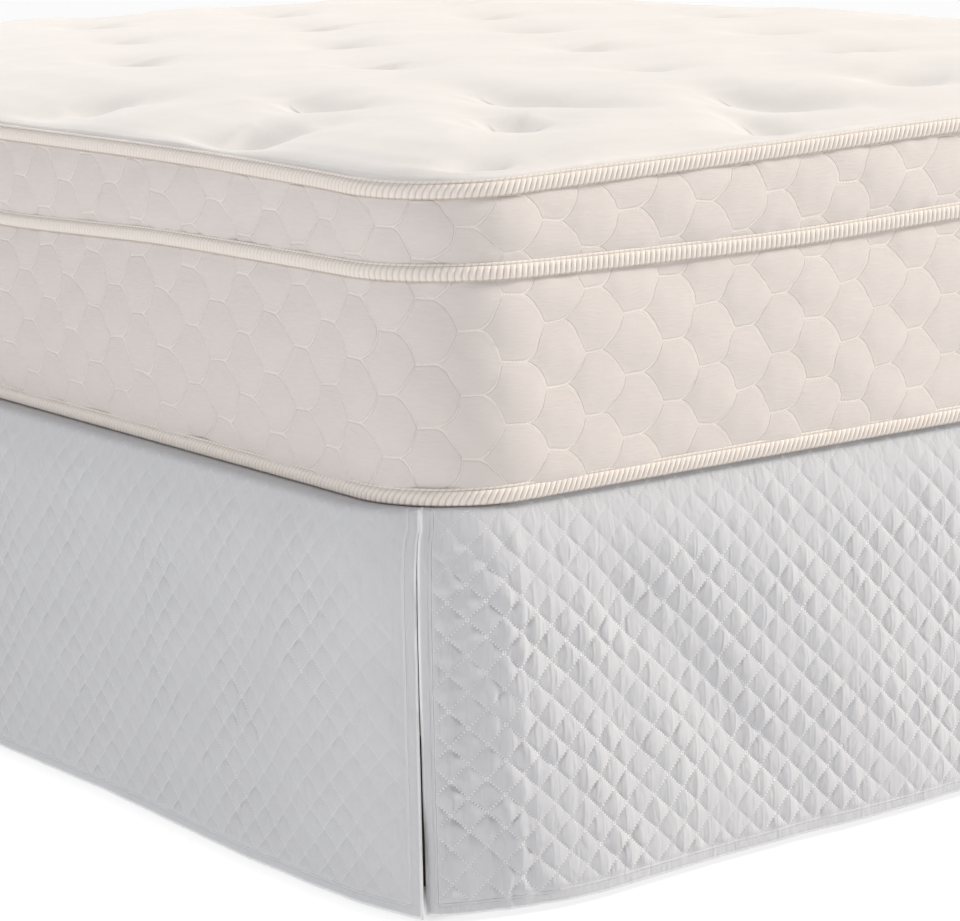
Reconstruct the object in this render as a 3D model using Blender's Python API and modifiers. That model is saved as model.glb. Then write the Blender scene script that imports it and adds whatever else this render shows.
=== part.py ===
"""Quilted bed skirt with split corners, hung on a plain bed base under a pillow-top mattress.

Metres, +Z up, floor at Z = 0. The foot of the bed is towards -Y, its head towards +Y.
"""

import math
from typing import NamedTuple

import bmesh
import bpy
from mathutils import Vector

COLLECTION = "bed_skirt_on_bed"

# Bed base: an upholstered foundation on turned legs.
BASE_WIDTH = 1.524
BASE_LENGTH = 2.032
BASE_TOP = 0.385
BASE_HEIGHT = 0.209
BASE_CORNER = 0.113
BASE_EDGE = 0.005
BASE_BOTTOM = BASE_TOP - BASE_HEIGHT

LEG_TOP_RADIUS = 0.030
LEG_FOOT_RADIUS = 0.021
LEG_SIDES = 24
LEG_CORNER_X = 0.660
LEG_CORNER_Y = 0.880
LEG_CENTRE_Y = 0.440

GAP = 0.0003

# Skirt: cloth thickness, the turn over the bed's edge, and the drop to the floor.
CLOTH = 0.002
CLOTH_STAND_OFF = 0.006
TURN_RADIUS = 0.006
TURN_STEPS = 3
LEDGE = 0.030
CLOTH_TOP = BASE_TOP + GAP + CLOTH
DROP_TOP = CLOTH_TOP - TURN_RADIUS
HEM_HEIGHT = 0.008
SEAM_GAP = 0.0008
SLIT_TOP = 0.361
SLIT_EASE = 0.80
SLIT_OFFSET = 0.0045
TIP_DROP = 0.0015
TIP_REACH = 0.060

SHEET_HALF_X = BASE_WIDTH / 2 + CLOTH_STAND_OFF
SHEET_HALF_Y = BASE_LENGTH / 2 + CLOTH_STAND_OFF
SHEET_RADIUS = BASE_CORNER + CLOTH_STAND_OFF
HALF_CORNER = SHEET_RADIUS * math.pi / 4
FOOT_STRAIGHT = 2 * (SHEET_HALF_X - SHEET_RADIUS)
SIDE_STRAIGHT = 2 * (SHEET_HALF_Y - SHEET_RADIUS)
HEAD_WRAP = math.radians(40)
FOOT_LENGTH = FOOT_STRAIGHT + 2 * (HALF_CORNER - SLIT_OFFSET)
SIDE_LENGTH = SIDE_STRAIGHT + HALF_CORNER + SLIT_OFFSET + SHEET_RADIUS * HEAD_WRAP

CORNER_SECTIONS = 7
SECTION_PITCH = 0.036
DROP_LEVELS = (0.0, 0.053, 0.14, 0.28, 0.42, 0.56, 0.70, 0.84, 0.95, 1.0)
INWARD_FROM = 0.42

# Mattress: its outline at the seams, and the three tapes that bind them.
MATTRESS_LEFT_X = -0.743
MATTRESS_RIGHT_X = 0.755
MATTRESS_FOOT_Y = -1.022
MATTRESS_HEAD_Y = 1.000
MATTRESS_CORNER = 0.108
MATTRESS_BOTTOM = CLOTH_TOP + GAP
CORNER_STEPS = 7
TAPE_HEIGHT = 0.016
TAPE_THICKNESS = 0.005
TAPE_ROUND = 0.0018


class HemRow(NamedTuple):
    """How far the hem swings out from below the bed's edge, at a distance from the corner slit."""

    at: float
    out: float


class Fold(NamedTuple):
    """A soft ridge, or a trough where out is negative, that runs down a drop at a slant."""

    top_at: float
    hem_at: float
    width: float
    out: float


class Ring(NamedTuple):
    """One level of the mattress: its height and how far it stands out from the seam line."""

    z: float
    out: float


class Drop(NamedTuple):
    """One hanging panel: where it starts on the outline, which way it runs, and how it falls.

    At the hem its ends draw back by open_start and open_end, and its first tip sags by tip_sag.
    """

    name: str
    start: float
    way: int
    length: float
    open_start: float
    open_end: float
    tip_sag: float
    hem: tuple
    folds: tuple


FOOT_HEM = (
    HemRow(-0.007, -0.0080),
    HemRow(0.006, -0.0054),
    HemRow(0.025, -0.0074),
    HemRow(0.055, -0.0086),
    HemRow(0.074, -0.0041),
    HemRow(0.095, -0.0010),
    HemRow(0.124, 0.0060),
    HemRow(0.160, 0.0095),
    HemRow(0.195, 0.0100),
    HemRow(0.242, 0.0070),
    HemRow(0.318, 0.0035),
    HemRow(0.400, 0.0025),
    HemRow(0.425, 0.0012),
    HemRow(0.496, 0.0038),
    HemRow(0.578, 0.0030),
    HemRow(0.632, -0.0010),
    HemRow(0.780, 0.0040),
    HemRow(0.930, -0.0010),
    HemRow(1.090, 0.0060),
    HemRow(1.230, 0.0030),
    HemRow(1.330, 0.0080),
    HemRow(1.400, -0.0030),
    HemRow(1.440, -0.0080),
    HemRow(1.483, -0.0070),
)
LEFT_HEM = (
    HemRow(0.009, 0.0015),
    HemRow(0.019, -0.0016),
    HemRow(0.034, -0.0059),
    HemRow(0.052, -0.0086),
    HemRow(0.075, -0.0105),
    HemRow(0.105, -0.0090),
    HemRow(0.135, -0.0068),
    HemRow(0.165, -0.0045),
    HemRow(0.216, -0.0030),
    HemRow(0.285, 0.0000),
    HemRow(0.362, -0.0008),
    HemRow(0.485, -0.0030),
    HemRow(0.568, -0.0020),
    HemRow(0.694, 0.0010),
    HemRow(0.778, 0.0030),
    HemRow(0.960, 0.0010),
    HemRow(1.160, -0.0040),
    HemRow(1.370, 0.0030),
    HemRow(1.600, -0.0010),
    HemRow(1.810, 0.0030),
    HemRow(1.990, 0.0000),
)
RIGHT_HEM = (
    HemRow(0.008, 0.0005),
    HemRow(0.035, -0.0050),
    HemRow(0.075, -0.0080),
    HemRow(0.130, -0.0040),
    HemRow(0.220, 0.0000),
    HemRow(0.360, 0.0020),
    HemRow(0.520, -0.0020),
    HemRow(0.700, 0.0020),
    HemRow(0.880, 0.0030),
    HemRow(1.050, -0.0030),
    HemRow(1.260, 0.0010),
    HemRow(1.480, 0.0030),
    HemRow(1.700, -0.0020),
    HemRow(1.860, 0.0020),
    HemRow(1.990, 0.0000),
)
FOOT_FOLDS = (
    Fold(0.110, 0.120, 0.030, 0.004),
    Fold(0.175, 0.440, 0.050, -0.004),
    Fold(0.310, 0.600, 0.075, 0.006),
    Fold(0.820, 0.700, 0.070, 0.005),
    Fold(1.060, 0.980, 0.055, -0.003),
    Fold(1.190, 1.280, 0.060, 0.005),
    Fold(1.380, 1.350, 0.030, 0.003),
)
LEFT_FOLDS = (
    Fold(0.085, 0.060, 0.030, 0.003),
    Fold(0.178, 0.165, 0.035, 0.006),
    Fold(0.430, 0.350, 0.060, 0.003),
    Fold(0.700, 0.640, 0.070, 0.004),
    Fold(1.020, 1.100, 0.080, 0.005),
    Fold(1.330, 1.260, 0.060, 0.004),
    Fold(1.700, 1.760, 0.080, 0.005),
)
RIGHT_FOLDS = (
    Fold(0.140, 0.180, 0.040, 0.005),
    Fold(0.420, 0.500, 0.070, 0.005),
    Fold(0.790, 0.730, 0.060, 0.004),
    Fold(1.120, 1.190, 0.080, 0.006),
    Fold(1.540, 1.470, 0.070, 0.004),
    Fold(1.800, 1.830, 0.050, 0.004),
)
DROPS = (
    Drop("skirt_drop_foot", SLIT_OFFSET, 1, FOOT_LENGTH, -0.0068, -0.0060, 0.0, FOOT_HEM, FOOT_FOLDS),
    Drop("skirt_drop_left", SLIT_OFFSET, -1, SIDE_LENGTH, 0.0093, 0.0, TIP_DROP, LEFT_HEM, LEFT_FOLDS),
    Drop(
        "skirt_drop_right",
        SLIT_OFFSET + FOOT_LENGTH,
        1,
        SIDE_LENGTH,
        0.0082,
        0.0,
        TIP_DROP,
        RIGHT_HEM,
        RIGHT_FOLDS,
    ),
)

MATTRESS_RINGS = (
    Ring(MATTRESS_BOTTOM, -0.010),
    Ring(0.392, -0.003),
    Ring(0.404, 0.000),
    Ring(0.430, 0.004),
    Ring(0.495, 0.006),
    Ring(0.560, 0.004),
    Ring(0.587, 0.000),
    Ring(0.604, 0.000),
    Ring(0.620, 0.003),
    Ring(0.636, 0.004),
    Ring(0.652, 0.003),
    Ring(0.668, 0.000),
    Ring(0.684, -0.002),
    Ring(0.697, -0.012),
    Ring(0.707, -0.035),
    Ring(0.714, -0.080),
    Ring(0.719, -0.160),
    Ring(0.721, -0.260),
)
TAPES = (
    ("mattress_tape_bottom", 0.388),
    ("mattress_tape_middle", 0.5875),
    ("mattress_tape_top", 0.668),
)


def clear_scene():
    """Removes every object, so that the model stands alone."""
    for obj in list(bpy.data.objects):
        bpy.data.objects.remove(obj, do_unlink=True)


def make_material(name, colour, roughness, metallic=0.0):
    """A Principled material of one colour, roughness and metallic value."""
    material = bpy.data.materials.new(name)
    material.use_nodes = True
    shader = material.node_tree.nodes["Principled BSDF"]
    shader.inputs["Base Color"].default_value = (*colour, 1.0)
    shader.inputs["Roughness"].default_value = roughness
    shader.inputs["Metallic"].default_value = metallic
    return material


def add_object(name, data, collection, material):
    """Wraps mesh or curve data in a named object of the collection, with its material."""
    obj = bpy.data.objects.new(name, data)
    data.materials.append(material)
    collection.objects.link(obj)
    return obj


def mesh_from(bm, name):
    """Turns an edited mesh into mesh data of that name."""
    mesh = bpy.data.meshes.new(name)
    bm.to_mesh(mesh)
    bm.free()
    return mesh


def shade_round(mesh, angle):
    """Shades a mesh smooth, with edges steeper than the angle kept sharp."""
    mesh.shade_smooth()
    mesh.set_sharp_from_angle(angle=angle)


def smooth_step(value):
    """Rises from 0 to 1 as value does, level at both ends."""
    clamped = min(max(value, 0.0), 1.0)
    return clamped * clamped * (3 - 2 * clamped)


def row_slope(rows, index):
    """Slope of a table at one of its rows, from its neighbours."""
    before = rows[max(index - 1, 0)]
    after = rows[min(index + 1, len(rows) - 1)]
    return (after.out - before.out) / (after.at - before.at)


def hem_out(rows, at):
    """The hem's swing at a distance along the drop, on a smooth curve through the table's rows."""
    last = len(rows) - 2
    index = next((i for i in range(last) if at < rows[i + 1].at), last)
    low, high = rows[index], rows[index + 1]
    span = high.at - low.at
    k = min(max((at - low.at) / span, 0.0), 1.0)
    rise = k * k * (3 - 2 * k)
    start_pull = k * (1 - k) ** 2 * span * row_slope(rows, index)
    end_pull = k * k * (k - 1) * span * row_slope(rows, index + 1)
    return low.out + rise * (high.out - low.out) + start_pull + end_pull


def outline_frame(distance):
    """Point and outward direction on the skirt's top outline.

    The distance runs anticlockwise, seen from above, from the middle of the left foot corner.
    """
    x = FOOT_STRAIGHT / 2
    y = SIDE_STRAIGHT / 2
    quarter = 2 * HALF_CORNER
    runs = (
        (FOOT_STRAIGHT, 270, (-x, -y), (1, 0)),
        (quarter, 270, (x, -y), None),
        (SIDE_STRAIGHT, 0, (x, -y), (0, 1)),
        (quarter, 0, (x, y), None),
        (FOOT_STRAIGHT, 90, (x, y), (-1, 0)),
        (quarter, 90, (-x, y), None),
        (SIDE_STRAIGHT, 180, (-x, y), (0, -1)),
        (quarter, 180, (-x, -y), None),
    )
    left = (distance - HALF_CORNER) % sum(run[0] for run in runs)
    for length, angle, centre, along in runs:
        if left <= length:
            break
        left -= length
    turn = math.radians(angle) + (0.0 if along else left / SHEET_RADIUS)
    outward = Vector((math.cos(turn), math.sin(turn)))
    point = Vector(centre) + outward * SHEET_RADIUS
    if along:
        point += Vector(along) * left
    return point, outward


def swing(drop, at, level):
    """How far a drop's face stands out at a distance along it; level is 0 at its top, 1 at its hem."""
    out = hem_out(drop.hem, at)
    fall = level if out > 0 else smooth_step((level - INWARD_FROM) / (1 - INWARD_FROM))
    out *= fall
    for fold in drop.folds:
        middle = fold.top_at + (fold.hem_at - fold.top_at) * level
        reach = math.exp(-(((at - middle) / fold.width) ** 2))
        out += fold.out * reach * math.sin(math.pi * level)
    return out


def section_marks(drop):
    """Where a drop's sections stand, as fractions of its length: close at its turned ends."""
    corner = HALF_CORNER / drop.length
    count = math.ceil((drop.length - 2 * HALF_CORNER) / SECTION_PITCH)
    marks = [corner * i / CORNER_SECTIONS for i in range(CORNER_SECTIONS)]
    marks += [corner + (1 - 2 * corner) * i / count for i in range(count)]
    marks += [1 - corner * i / CORNER_SECTIONS for i in range(CORNER_SECTIONS, -1, -1)]
    return marks


def ledge_profile():
    """The part of a section that lies on the bed's edge and turns over it, as (out, z) pairs."""
    profile = [(-LEDGE, CLOTH_TOP)]
    for step in range(TURN_STEPS):
        angle = math.pi / 2 * step / TURN_STEPS
        profile.append((TURN_RADIUS * (math.sin(angle) - 1), DROP_TOP + TURN_RADIUS * math.cos(angle)))
    return profile


def drop_section(drop, mark):
    """One section of a drop, from the ledge under the mattress, over the edge and down to the hem."""
    points = []
    slit = (DROP_TOP - SLIT_TOP) / (DROP_TOP - HEM_HEIGHT)
    rows = [(out, z, 0.0) for out, z in ledge_profile()]
    rows += [(0.0, None, level) for level in DROP_LEVELS]
    for out, z, level in rows:
        opening = smooth_step((level - slit) / SLIT_EASE)
        first = SEAM_GAP / 2 + drop.open_start * opening
        last = drop.length - SEAM_GAP / 2 - drop.open_end * opening
        at = first + (last - first) * mark
        point, outward = outline_frame(drop.start + drop.way * at)
        if z is None:
            sag = drop.tip_sag * smooth_step(1 - at / TIP_REACH)
            z = DROP_TOP - (DROP_TOP - HEM_HEIGHT + sag) * level
            out = swing(drop, at, level)
        place = point + outward * out
        points.append(Vector((place.x, place.y, z)))
    return points


def make_drop(drop, collection, material):
    """Builds one hanging panel as an open face through its sections, thickened inwards."""
    bm = bmesh.new()
    columns = [[bm.verts.new(p) for p in drop_section(drop, mark)] for mark in section_marks(drop)]
    for near, far in zip(columns, columns[1:]):
        for row in range(len(near) - 1):
            corners = (near[row], near[row + 1], far[row + 1], far[row])
            bm.faces.new(corners if drop.way > 0 else corners[::-1])
    mesh = mesh_from(bm, drop.name)
    shade_round(mesh, math.radians(40))
    obj = add_object(drop.name, mesh, collection, material)
    shell = obj.modifiers.new("cloth", "SOLIDIFY")
    shell.thickness = CLOTH
    shell.offset = -1.0
    return obj


def corner_outline(low, high, radius, steps):
    """Points and outward directions round a rectangle with round corners, anticlockwise."""
    centres = (
        (high[0] - radius, low[1] + radius, 270),
        (high[0] - radius, high[1] - radius, 0),
        (low[0] + radius, high[1] - radius, 90),
        (low[0] + radius, low[1] + radius, 180),
    )
    frames = []
    for x, y, start in centres:
        for step in range(steps + 1):
            turn = math.radians(start + 90 * step / steps)
            outward = Vector((math.cos(turn), math.sin(turn)))
            frames.append((Vector((x, y)) + outward * radius, outward))
    return frames


def mattress_ring(bm, z, out):
    """The closed row of edges round the mattress at one level."""
    radius = MATTRESS_CORNER + max(out, -MATTRESS_CORNER / 3)
    low = (MATTRESS_LEFT_X - out, MATTRESS_FOOT_Y - out)
    high = (MATTRESS_RIGHT_X + out, MATTRESS_HEAD_Y + out)
    row = [bm.verts.new((p.x, p.y, z)) for p, _ in corner_outline(low, high, radius, CORNER_STEPS)]
    return [bm.edges.new((row[i - 1], row[i])) for i in range(len(row))]


def make_mattress(collection, material):
    """Builds the filled mattress through its rings: border, waist, gusset and crown."""
    bm = bmesh.new()
    loops = [mattress_ring(bm, ring.z, ring.out) for ring in MATTRESS_RINGS]
    for lower, upper in zip(loops, loops[1:]):
        bmesh.ops.bridge_loops(bm, edges=lower + upper)
    for rim in (loops[0], loops[-1]):
        bmesh.ops.contextual_create(bm, geom=rim)
    bmesh.ops.recalc_face_normals(bm, faces=bm.faces)
    mesh = mesh_from(bm, "mattress")
    shade_round(mesh, math.radians(50))
    return add_object("mattress", mesh, collection, material)


def make_tape(name, bottom, collection, material):
    """Builds a binding tape, a low rounded band sewn round the mattress over one of its seams."""
    bm = bmesh.new()
    lower = mattress_ring(bm, bottom, GAP)
    upper = mattress_ring(bm, bottom + TAPE_HEIGHT, GAP)
    bmesh.ops.bridge_loops(bm, edges=lower + upper)
    bmesh.ops.recalc_face_normals(bm, faces=bm.faces)
    mesh = mesh_from(bm, name)
    tape = add_object(name, mesh, collection, material)
    band = tape.modifiers.new("band", "SOLIDIFY")
    band.thickness = TAPE_THICKNESS
    band.offset = 1.0
    edge = tape.modifiers.new("edge", "BEVEL")
    edge.width = TAPE_ROUND
    edge.segments = 2
    edge.limit_method = "ANGLE"
    edge.angle_limit = math.radians(60)
    return tape


def make_base(collection, material):
    """Builds the foundation: a box with round upright corners and softened edges."""
    bm = bmesh.new()
    bmesh.ops.create_cube(bm, size=1.0)
    bmesh.ops.scale(bm, vec=(BASE_WIDTH, BASE_LENGTH, BASE_HEIGHT), verts=bm.verts)
    bmesh.ops.translate(bm, vec=(0, 0, BASE_TOP - BASE_HEIGHT / 2), verts=bm.verts)
    upright = [e for e in bm.edges if abs(e.verts[0].co.z - e.verts[1].co.z) > BASE_HEIGHT / 2]
    bmesh.ops.bevel(
        bm, geom=upright, offset=BASE_CORNER, affect="EDGES", segments=8, profile=0.5, material=-1
    )
    flat = [f for f in bm.faces if abs(f.normal.z) > 0.9]
    rim = list({e for f in flat for e in f.edges})
    bmesh.ops.bevel(bm, geom=rim, offset=BASE_EDGE, affect="EDGES", segments=2, profile=0.5, material=-1)
    mesh = mesh_from(bm, "box_spring")
    shade_round(mesh, math.radians(40))
    return add_object("box_spring", mesh, collection, material)


def make_leg(number, x, y, collection, material):
    """Stands one tapered leg under the base."""
    height = BASE_BOTTOM - GAP
    bm = bmesh.new()
    bmesh.ops.create_cone(
        bm,
        cap_ends=True,
        segments=LEG_SIDES,
        radius1=LEG_FOOT_RADIUS,
        radius2=LEG_TOP_RADIUS,
        depth=height,
    )
    bmesh.ops.translate(bm, vec=(0, 0, height / 2), verts=bm.verts)
    name = f"leg_{number}"
    mesh = mesh_from(bm, name)
    shade_round(mesh, math.radians(40))
    leg = add_object(name, mesh, collection, material)
    leg.location = (x, y, 0)
    return leg


def make_deck(collection, material):
    """Lays the skirt's flat deck on the base, inside the ledges of the drops."""
    inset = LEDGE + 2 * GAP
    low = (inset - SHEET_HALF_X, inset - SHEET_HALF_Y)
    high = (SHEET_HALF_X - inset, SHEET_HALF_Y - inset)
    frames = corner_outline(low, high, SHEET_RADIUS - inset, CORNER_STEPS)
    curve = bpy.data.curves.new("skirt_deck", "CURVE")
    curve.dimensions = "2D"
    curve.fill_mode = "BOTH"
    curve.extrude = CLOTH / 2
    spline = curve.splines.new("POLY")
    spline.points.add(len(frames) - 1)
    for point, (place, _) in zip(spline.points, frames):
        point.co = (place.x, place.y, 0, 1)
    spline.use_cyclic_u = True
    deck = add_object("skirt_deck", curve, collection, material)
    deck.location = (0, 0, CLOTH_TOP - CLOTH / 2)
    return deck


def main():
    """Builds the bed, then dresses it with the skirt."""
    clear_scene()
    collection = bpy.data.collections.new(COLLECTION)
    bpy.context.scene.collection.children.link(collection)

    make_base(collection, make_material("base_ticking", (0.72, 0.69, 0.65), 0.9))
    wood = make_material("leg_beech", (0.42, 0.27, 0.15), 0.45)
    places = [(x, y) for y in (-LEG_CORNER_Y, LEG_CORNER_Y) for x in (-LEG_CORNER_X, LEG_CORNER_X)]
    places += [(0.0, -LEG_CENTRE_Y), (0.0, LEG_CENTRE_Y)]
    for number, (x, y) in enumerate(places, start=1):
        make_leg(number, x, y, collection, wood)

    make_mattress(collection, make_material("mattress_ticking", (0.78, 0.73, 0.69), 0.85))
    tape = make_material("binding_tape", (0.82, 0.77, 0.73), 0.7)
    for name, bottom in TAPES:
        make_tape(name, bottom, collection, tape)

    make_deck(collection, make_material("deck_muslin", (0.88, 0.88, 0.88), 0.9))
    quilt = make_material("quilted_cotton", (0.90, 0.90, 0.90), 0.8)
    for drop in DROPS:
        make_drop(drop, collection, quilt)


main()
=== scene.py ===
"""A quilted bed skirt with split corners, on a bed base under a pillow-top mattress.

Metres, +Z up, floor at Z = 0. The foot of the bed is towards -Y and its head towards +Y.
"""

from __future__ import annotations

import logging
import math
from dataclasses import dataclass
from enum import Enum
from functools import partial
from typing import Any, NamedTuple

import bmesh
import bpy
import numpy as np
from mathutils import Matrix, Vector


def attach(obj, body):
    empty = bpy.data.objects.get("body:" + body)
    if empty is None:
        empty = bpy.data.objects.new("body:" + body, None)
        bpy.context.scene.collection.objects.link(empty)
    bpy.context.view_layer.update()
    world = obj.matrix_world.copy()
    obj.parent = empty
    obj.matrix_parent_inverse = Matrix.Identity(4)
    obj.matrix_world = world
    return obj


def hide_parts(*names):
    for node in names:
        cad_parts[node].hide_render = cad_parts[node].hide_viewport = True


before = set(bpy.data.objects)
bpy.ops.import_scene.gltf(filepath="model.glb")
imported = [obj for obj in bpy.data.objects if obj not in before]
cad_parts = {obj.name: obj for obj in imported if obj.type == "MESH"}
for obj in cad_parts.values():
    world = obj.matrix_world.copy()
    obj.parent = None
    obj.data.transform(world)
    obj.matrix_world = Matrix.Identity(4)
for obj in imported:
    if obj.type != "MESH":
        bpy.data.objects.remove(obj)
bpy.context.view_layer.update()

LOG = logging.getLogger("bed_skirt")
BODY = "root"
UV_MAP = "cloth"

# Heights and thicknesses that the cloth, the base and the mattress share.
CLOTH = 0.002
BASE_TOP = 0.385
CLOTH_TOP = BASE_TOP + 0.0003 + CLOTH
MATTRESS_BOTTOM = CLOTH_TOP + 0.0003

Pair = tuple[np.ndarray, np.ndarray]
Triple = tuple[np.ndarray, np.ndarray, np.ndarray]


class Weave(Enum):
    """Thread spacing in metres of the cloths, drawn coarser than real so that it shows."""

    QUILT_SHELL = 0.0011
    TICKING = 0.0013
    MUSLIN = 0.0014
    BASE_CLOTH = 0.0016


class LightKind(Enum):
    """The studio's kinds of light: a distant one, and a square panel."""

    DISTANT = "SUN"
    PANEL = "AREA"


class Bend(NamedTuple):
    """A point of a tape's section: how far out and up it is, and its share of the ribs' height."""

    out: float
    up: float
    ribbed: float


class Fold(NamedTuple):
    """A soft ridge, or a trough where out is negative, that runs down a drop at a slant."""

    top_at: float
    hem_at: float
    width: float
    out: float


class Profile(NamedTuple):
    """Values at distances along an edge."""

    at: tuple[float, ...]
    value: tuple[float, ...]

    def along(self, at: np.ndarray) -> np.ndarray:
        """Reads the profile off a smooth curve through its values.

        Args:
            at: Distances along the edge.

        Returns:
            The value at each distance.
        """
        marks, values = np.array(self.at), np.array(self.value)
        last = len(marks) - 1
        before = np.maximum(np.arange(last + 1) - 1, 0)
        after = np.minimum(np.arange(last + 1) + 1, last)
        slopes = (values[after] - values[before]) / (marks[after] - marks[before])
        i = np.clip(np.searchsorted(marks, at, side="right") - 1, 0, last - 1)
        span = marks[i + 1] - marks[i]
        k = np.clip((at - marks[i]) / span, 0.0, 1.0)
        value = values[i] + k * k * (3 - 2 * k) * (values[i + 1] - values[i])
        return value + k * (1 - k) * span * ((1 - k) * slopes[i] - k * slopes[i + 1])


class Crease(NamedTuple):
    """A pinched crease in the mattress's top: its course, its depth and its hollow's width."""

    start: tuple[float, float]
    middle: tuple[float, float]
    end: tuple[float, float]
    depth: float
    reach: float

    def near(self, x: np.ndarray, y: np.ndarray) -> Pair:
        """Finds how far each point is from the crease's curve.

        Args:
            x: The points' x.
            y: The points' y.

        Returns:
            The distance, less than 0 to the right of the curve, and the share of the curve gone by.
        """
        start, middle, end = (np.array(point) for point in (self.start, self.middle, self.end))
        pull = 2 * middle - (start + end) / 2
        t = np.linspace(0, 1, 15)[:, None]
        curve = (1 - t) ** 2 * start + 2 * t * (1 - t) * pull + t**2 * end
        nearest, gone = np.full_like(x, 9.0), np.zeros_like(x)
        for k, (first, last) in enumerate(zip(curve[:-1], curve[1:])):
            run = last - first
            share = np.clip(((x - first[0]) * run[0] + (y - first[1]) * run[1]) / (run @ run), 0, 1)
            dx, dy = x - first[0] - share * run[0], y - first[1] - share * run[1]
            side = np.where(run[0] * dy - run[1] * dx < 0, -1.0, 1.0)
            closer = np.hypot(dx, dy) < np.abs(nearest)
            nearest = np.where(closer, side * np.hypot(dx, dy), nearest)
            gone = np.where(closer, (k + share) / (len(curve) - 1), gone)
        return nearest, gone


def smooth_step(value: np.ndarray) -> np.ndarray:
    """Rises from 0 to 1 as value does, level at both ends."""
    clamped = np.clip(value, 0.0, 1.0)
    return clamped * clamped * (3 - 2 * clamped)


def bell(off: np.ndarray, width: float) -> np.ndarray:
    """Falls from 1 to nearly 0 as off leaves 0 by more than width, either way."""
    return np.exp(-((off / width) ** 2))


def chance(i: np.ndarray, j: np.ndarray, seed: float) -> np.ndarray:
    """A fixed, random-looking number from 0 to 1 for each cell (i, j)."""
    value = np.sin(i * 12.9898 + j * 78.233 + seed * 37.719) * 43758.5453
    return value - np.floor(value)


class Waves(NamedTuple):
    """Soft, uneven waves in cloth: how high they stand and how long they usually are."""

    height: float
    length: float

    def over(self, u: np.ndarray, v: np.ndarray, seed: int) -> np.ndarray:
        """Spreads the waves over a cloth, as a few crossing ripples.

        Args:
            u: Distance along the cloth.
            v: Distance up or down it.
            seed: Picks the waves.

        Returns:
            Their height at each point, less than 0 in the troughs.
        """
        source = np.random.default_rng(seed)
        total = np.zeros_like(u)
        for _ in range(7):
            turn = source.uniform(0, math.pi)
            pace = 2 * math.pi / (self.length * source.uniform(0.7, 1.7))
            phase = pace * (u * math.cos(turn) + v * math.sin(turn)) + source.uniform(0, 6.28)
            total += np.sin(phase)
        return self.height * (total / 3.0)


@dataclass(frozen=True)
class Outline:
    """A rectangle with round corners, seen from above.

    Distances along it run anticlockwise from the middle of the left foot corner.
    """

    left: float
    right: float
    foot: float
    head: float
    radius: float

    @property
    def width(self) -> float:
        """Length of the straight part of the foot end."""
        return self.right - self.left - 2 * self.radius

    @property
    def depth(self) -> float:
        """Length of the straight part of a side."""
        return self.head - self.foot - 2 * self.radius

    @property
    def quarter(self) -> float:
        """Length of one round corner."""
        return self.radius * math.pi / 2

    @property
    def length(self) -> float:
        """Distance all the way round."""
        return 2 * (self.width + self.depth) + 4 * self.quarter

    def place(self, distance: np.ndarray) -> Pair:
        """Finds points on the outline.

        Args:
            distance: Distances from the middle of the left foot corner.

        Returns:
            The points and the outward directions there, each one row of x and y to a distance.
        """
        near_x, far_x = self.left + self.radius, self.right - self.radius
        near_y, far_y = self.foot + self.radius, self.head - self.radius
        legs = np.array([self.width, self.quarter, self.depth, self.quarter] * 2)
        legs[[4, 6]] = self.width, self.depth
        corners = [(near_x, near_y), (far_x, near_y), (far_x, far_y), (near_x, far_y)]
        centres = np.array([corners[k] for k in (0, 1, 1, 2, 2, 3, 3, 0)])
        angles = np.radians([270, 270, 0, 0, 90, 90, 180, 180])
        ends = np.cumsum(legs)
        gone = (np.asarray(distance) - self.quarter / 2) % ends[-1]
        leg = np.minimum(np.searchsorted(ends, gone, side="right"), 7)
        rest = gone - (ends[leg] - legs[leg])
        bent = leg % 2 == 1
        turn = angles[leg] + np.where(bent, rest / self.radius, 0.0)
        outward = np.stack((np.cos(turn), np.sin(turn)), axis=-1)
        onward = np.stack((-np.sin(turn), np.cos(turn)), axis=-1)
        run = np.where(bent, 0.0, rest)[..., None]
        return centres[leg] + outward * self.radius + onward * run, outward

    def fit(self, x: np.ndarray, y: np.ndarray, inset: float) -> Pair:
        """Fits a unit square's points inside the outline, its corners pressed to the round.

        Args:
            x: Points across the square, from -1 to 1.
            y: Points along it, from -1 to 1.
            inset: How far inside the outline the square's rim comes.

        Returns:
            The points' x and y.
        """
        half_x = (self.right - self.left) / 2 - inset
        half_y = (self.head - self.foot) / 2 - inset
        radius = self.radius - inset
        over_x = np.maximum(np.abs(x) * half_x - (half_x - radius), 0) / radius
        over_y = np.maximum(np.abs(y) * half_y - (half_y - radius), 0) / radius
        shift_x = over_x * (np.sqrt(1 - over_y**2 / 2) - 1) * radius * np.sign(x)
        shift_y = over_y * (np.sqrt(1 - over_x**2 / 2) - 1) * radius * np.sign(y)
        middle_x, middle_y = (self.left + self.right) / 2, (self.foot + self.head) / 2
        return middle_x + x * half_x + shift_x, middle_y + y * half_y + shift_y

    def inside(self, x: np.ndarray, y: np.ndarray) -> np.ndarray:
        """Finds how far inside the outline each point lies.

        Args:
            x: The points' x.
            y: The points' y.

        Returns:
            The distances, less than 0 outside.
        """
        half_x, half_y = (self.right - self.left) / 2, (self.head - self.foot) / 2
        over_x = np.abs(x - (self.left + self.right) / 2) - (half_x - self.radius)
        over_y = np.abs(y - (self.foot + self.head) / 2) - (half_y - self.radius)
        outer = np.hypot(np.maximum(over_x, 0), np.maximum(over_y, 0))
        return self.radius - outer - np.minimum(np.maximum(over_x, over_y), 0)


SKIRT_OUTLINE = Outline(-0.768, 0.768, -1.022, 1.022, 0.119)
MATTRESS_OUTLINE = Outline(-0.743, 0.755, -1.022, 1.000, 0.108)
BASE_OUTLINE = Outline(-0.762, 0.762, -1.016, 1.016, 0.113)


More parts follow.
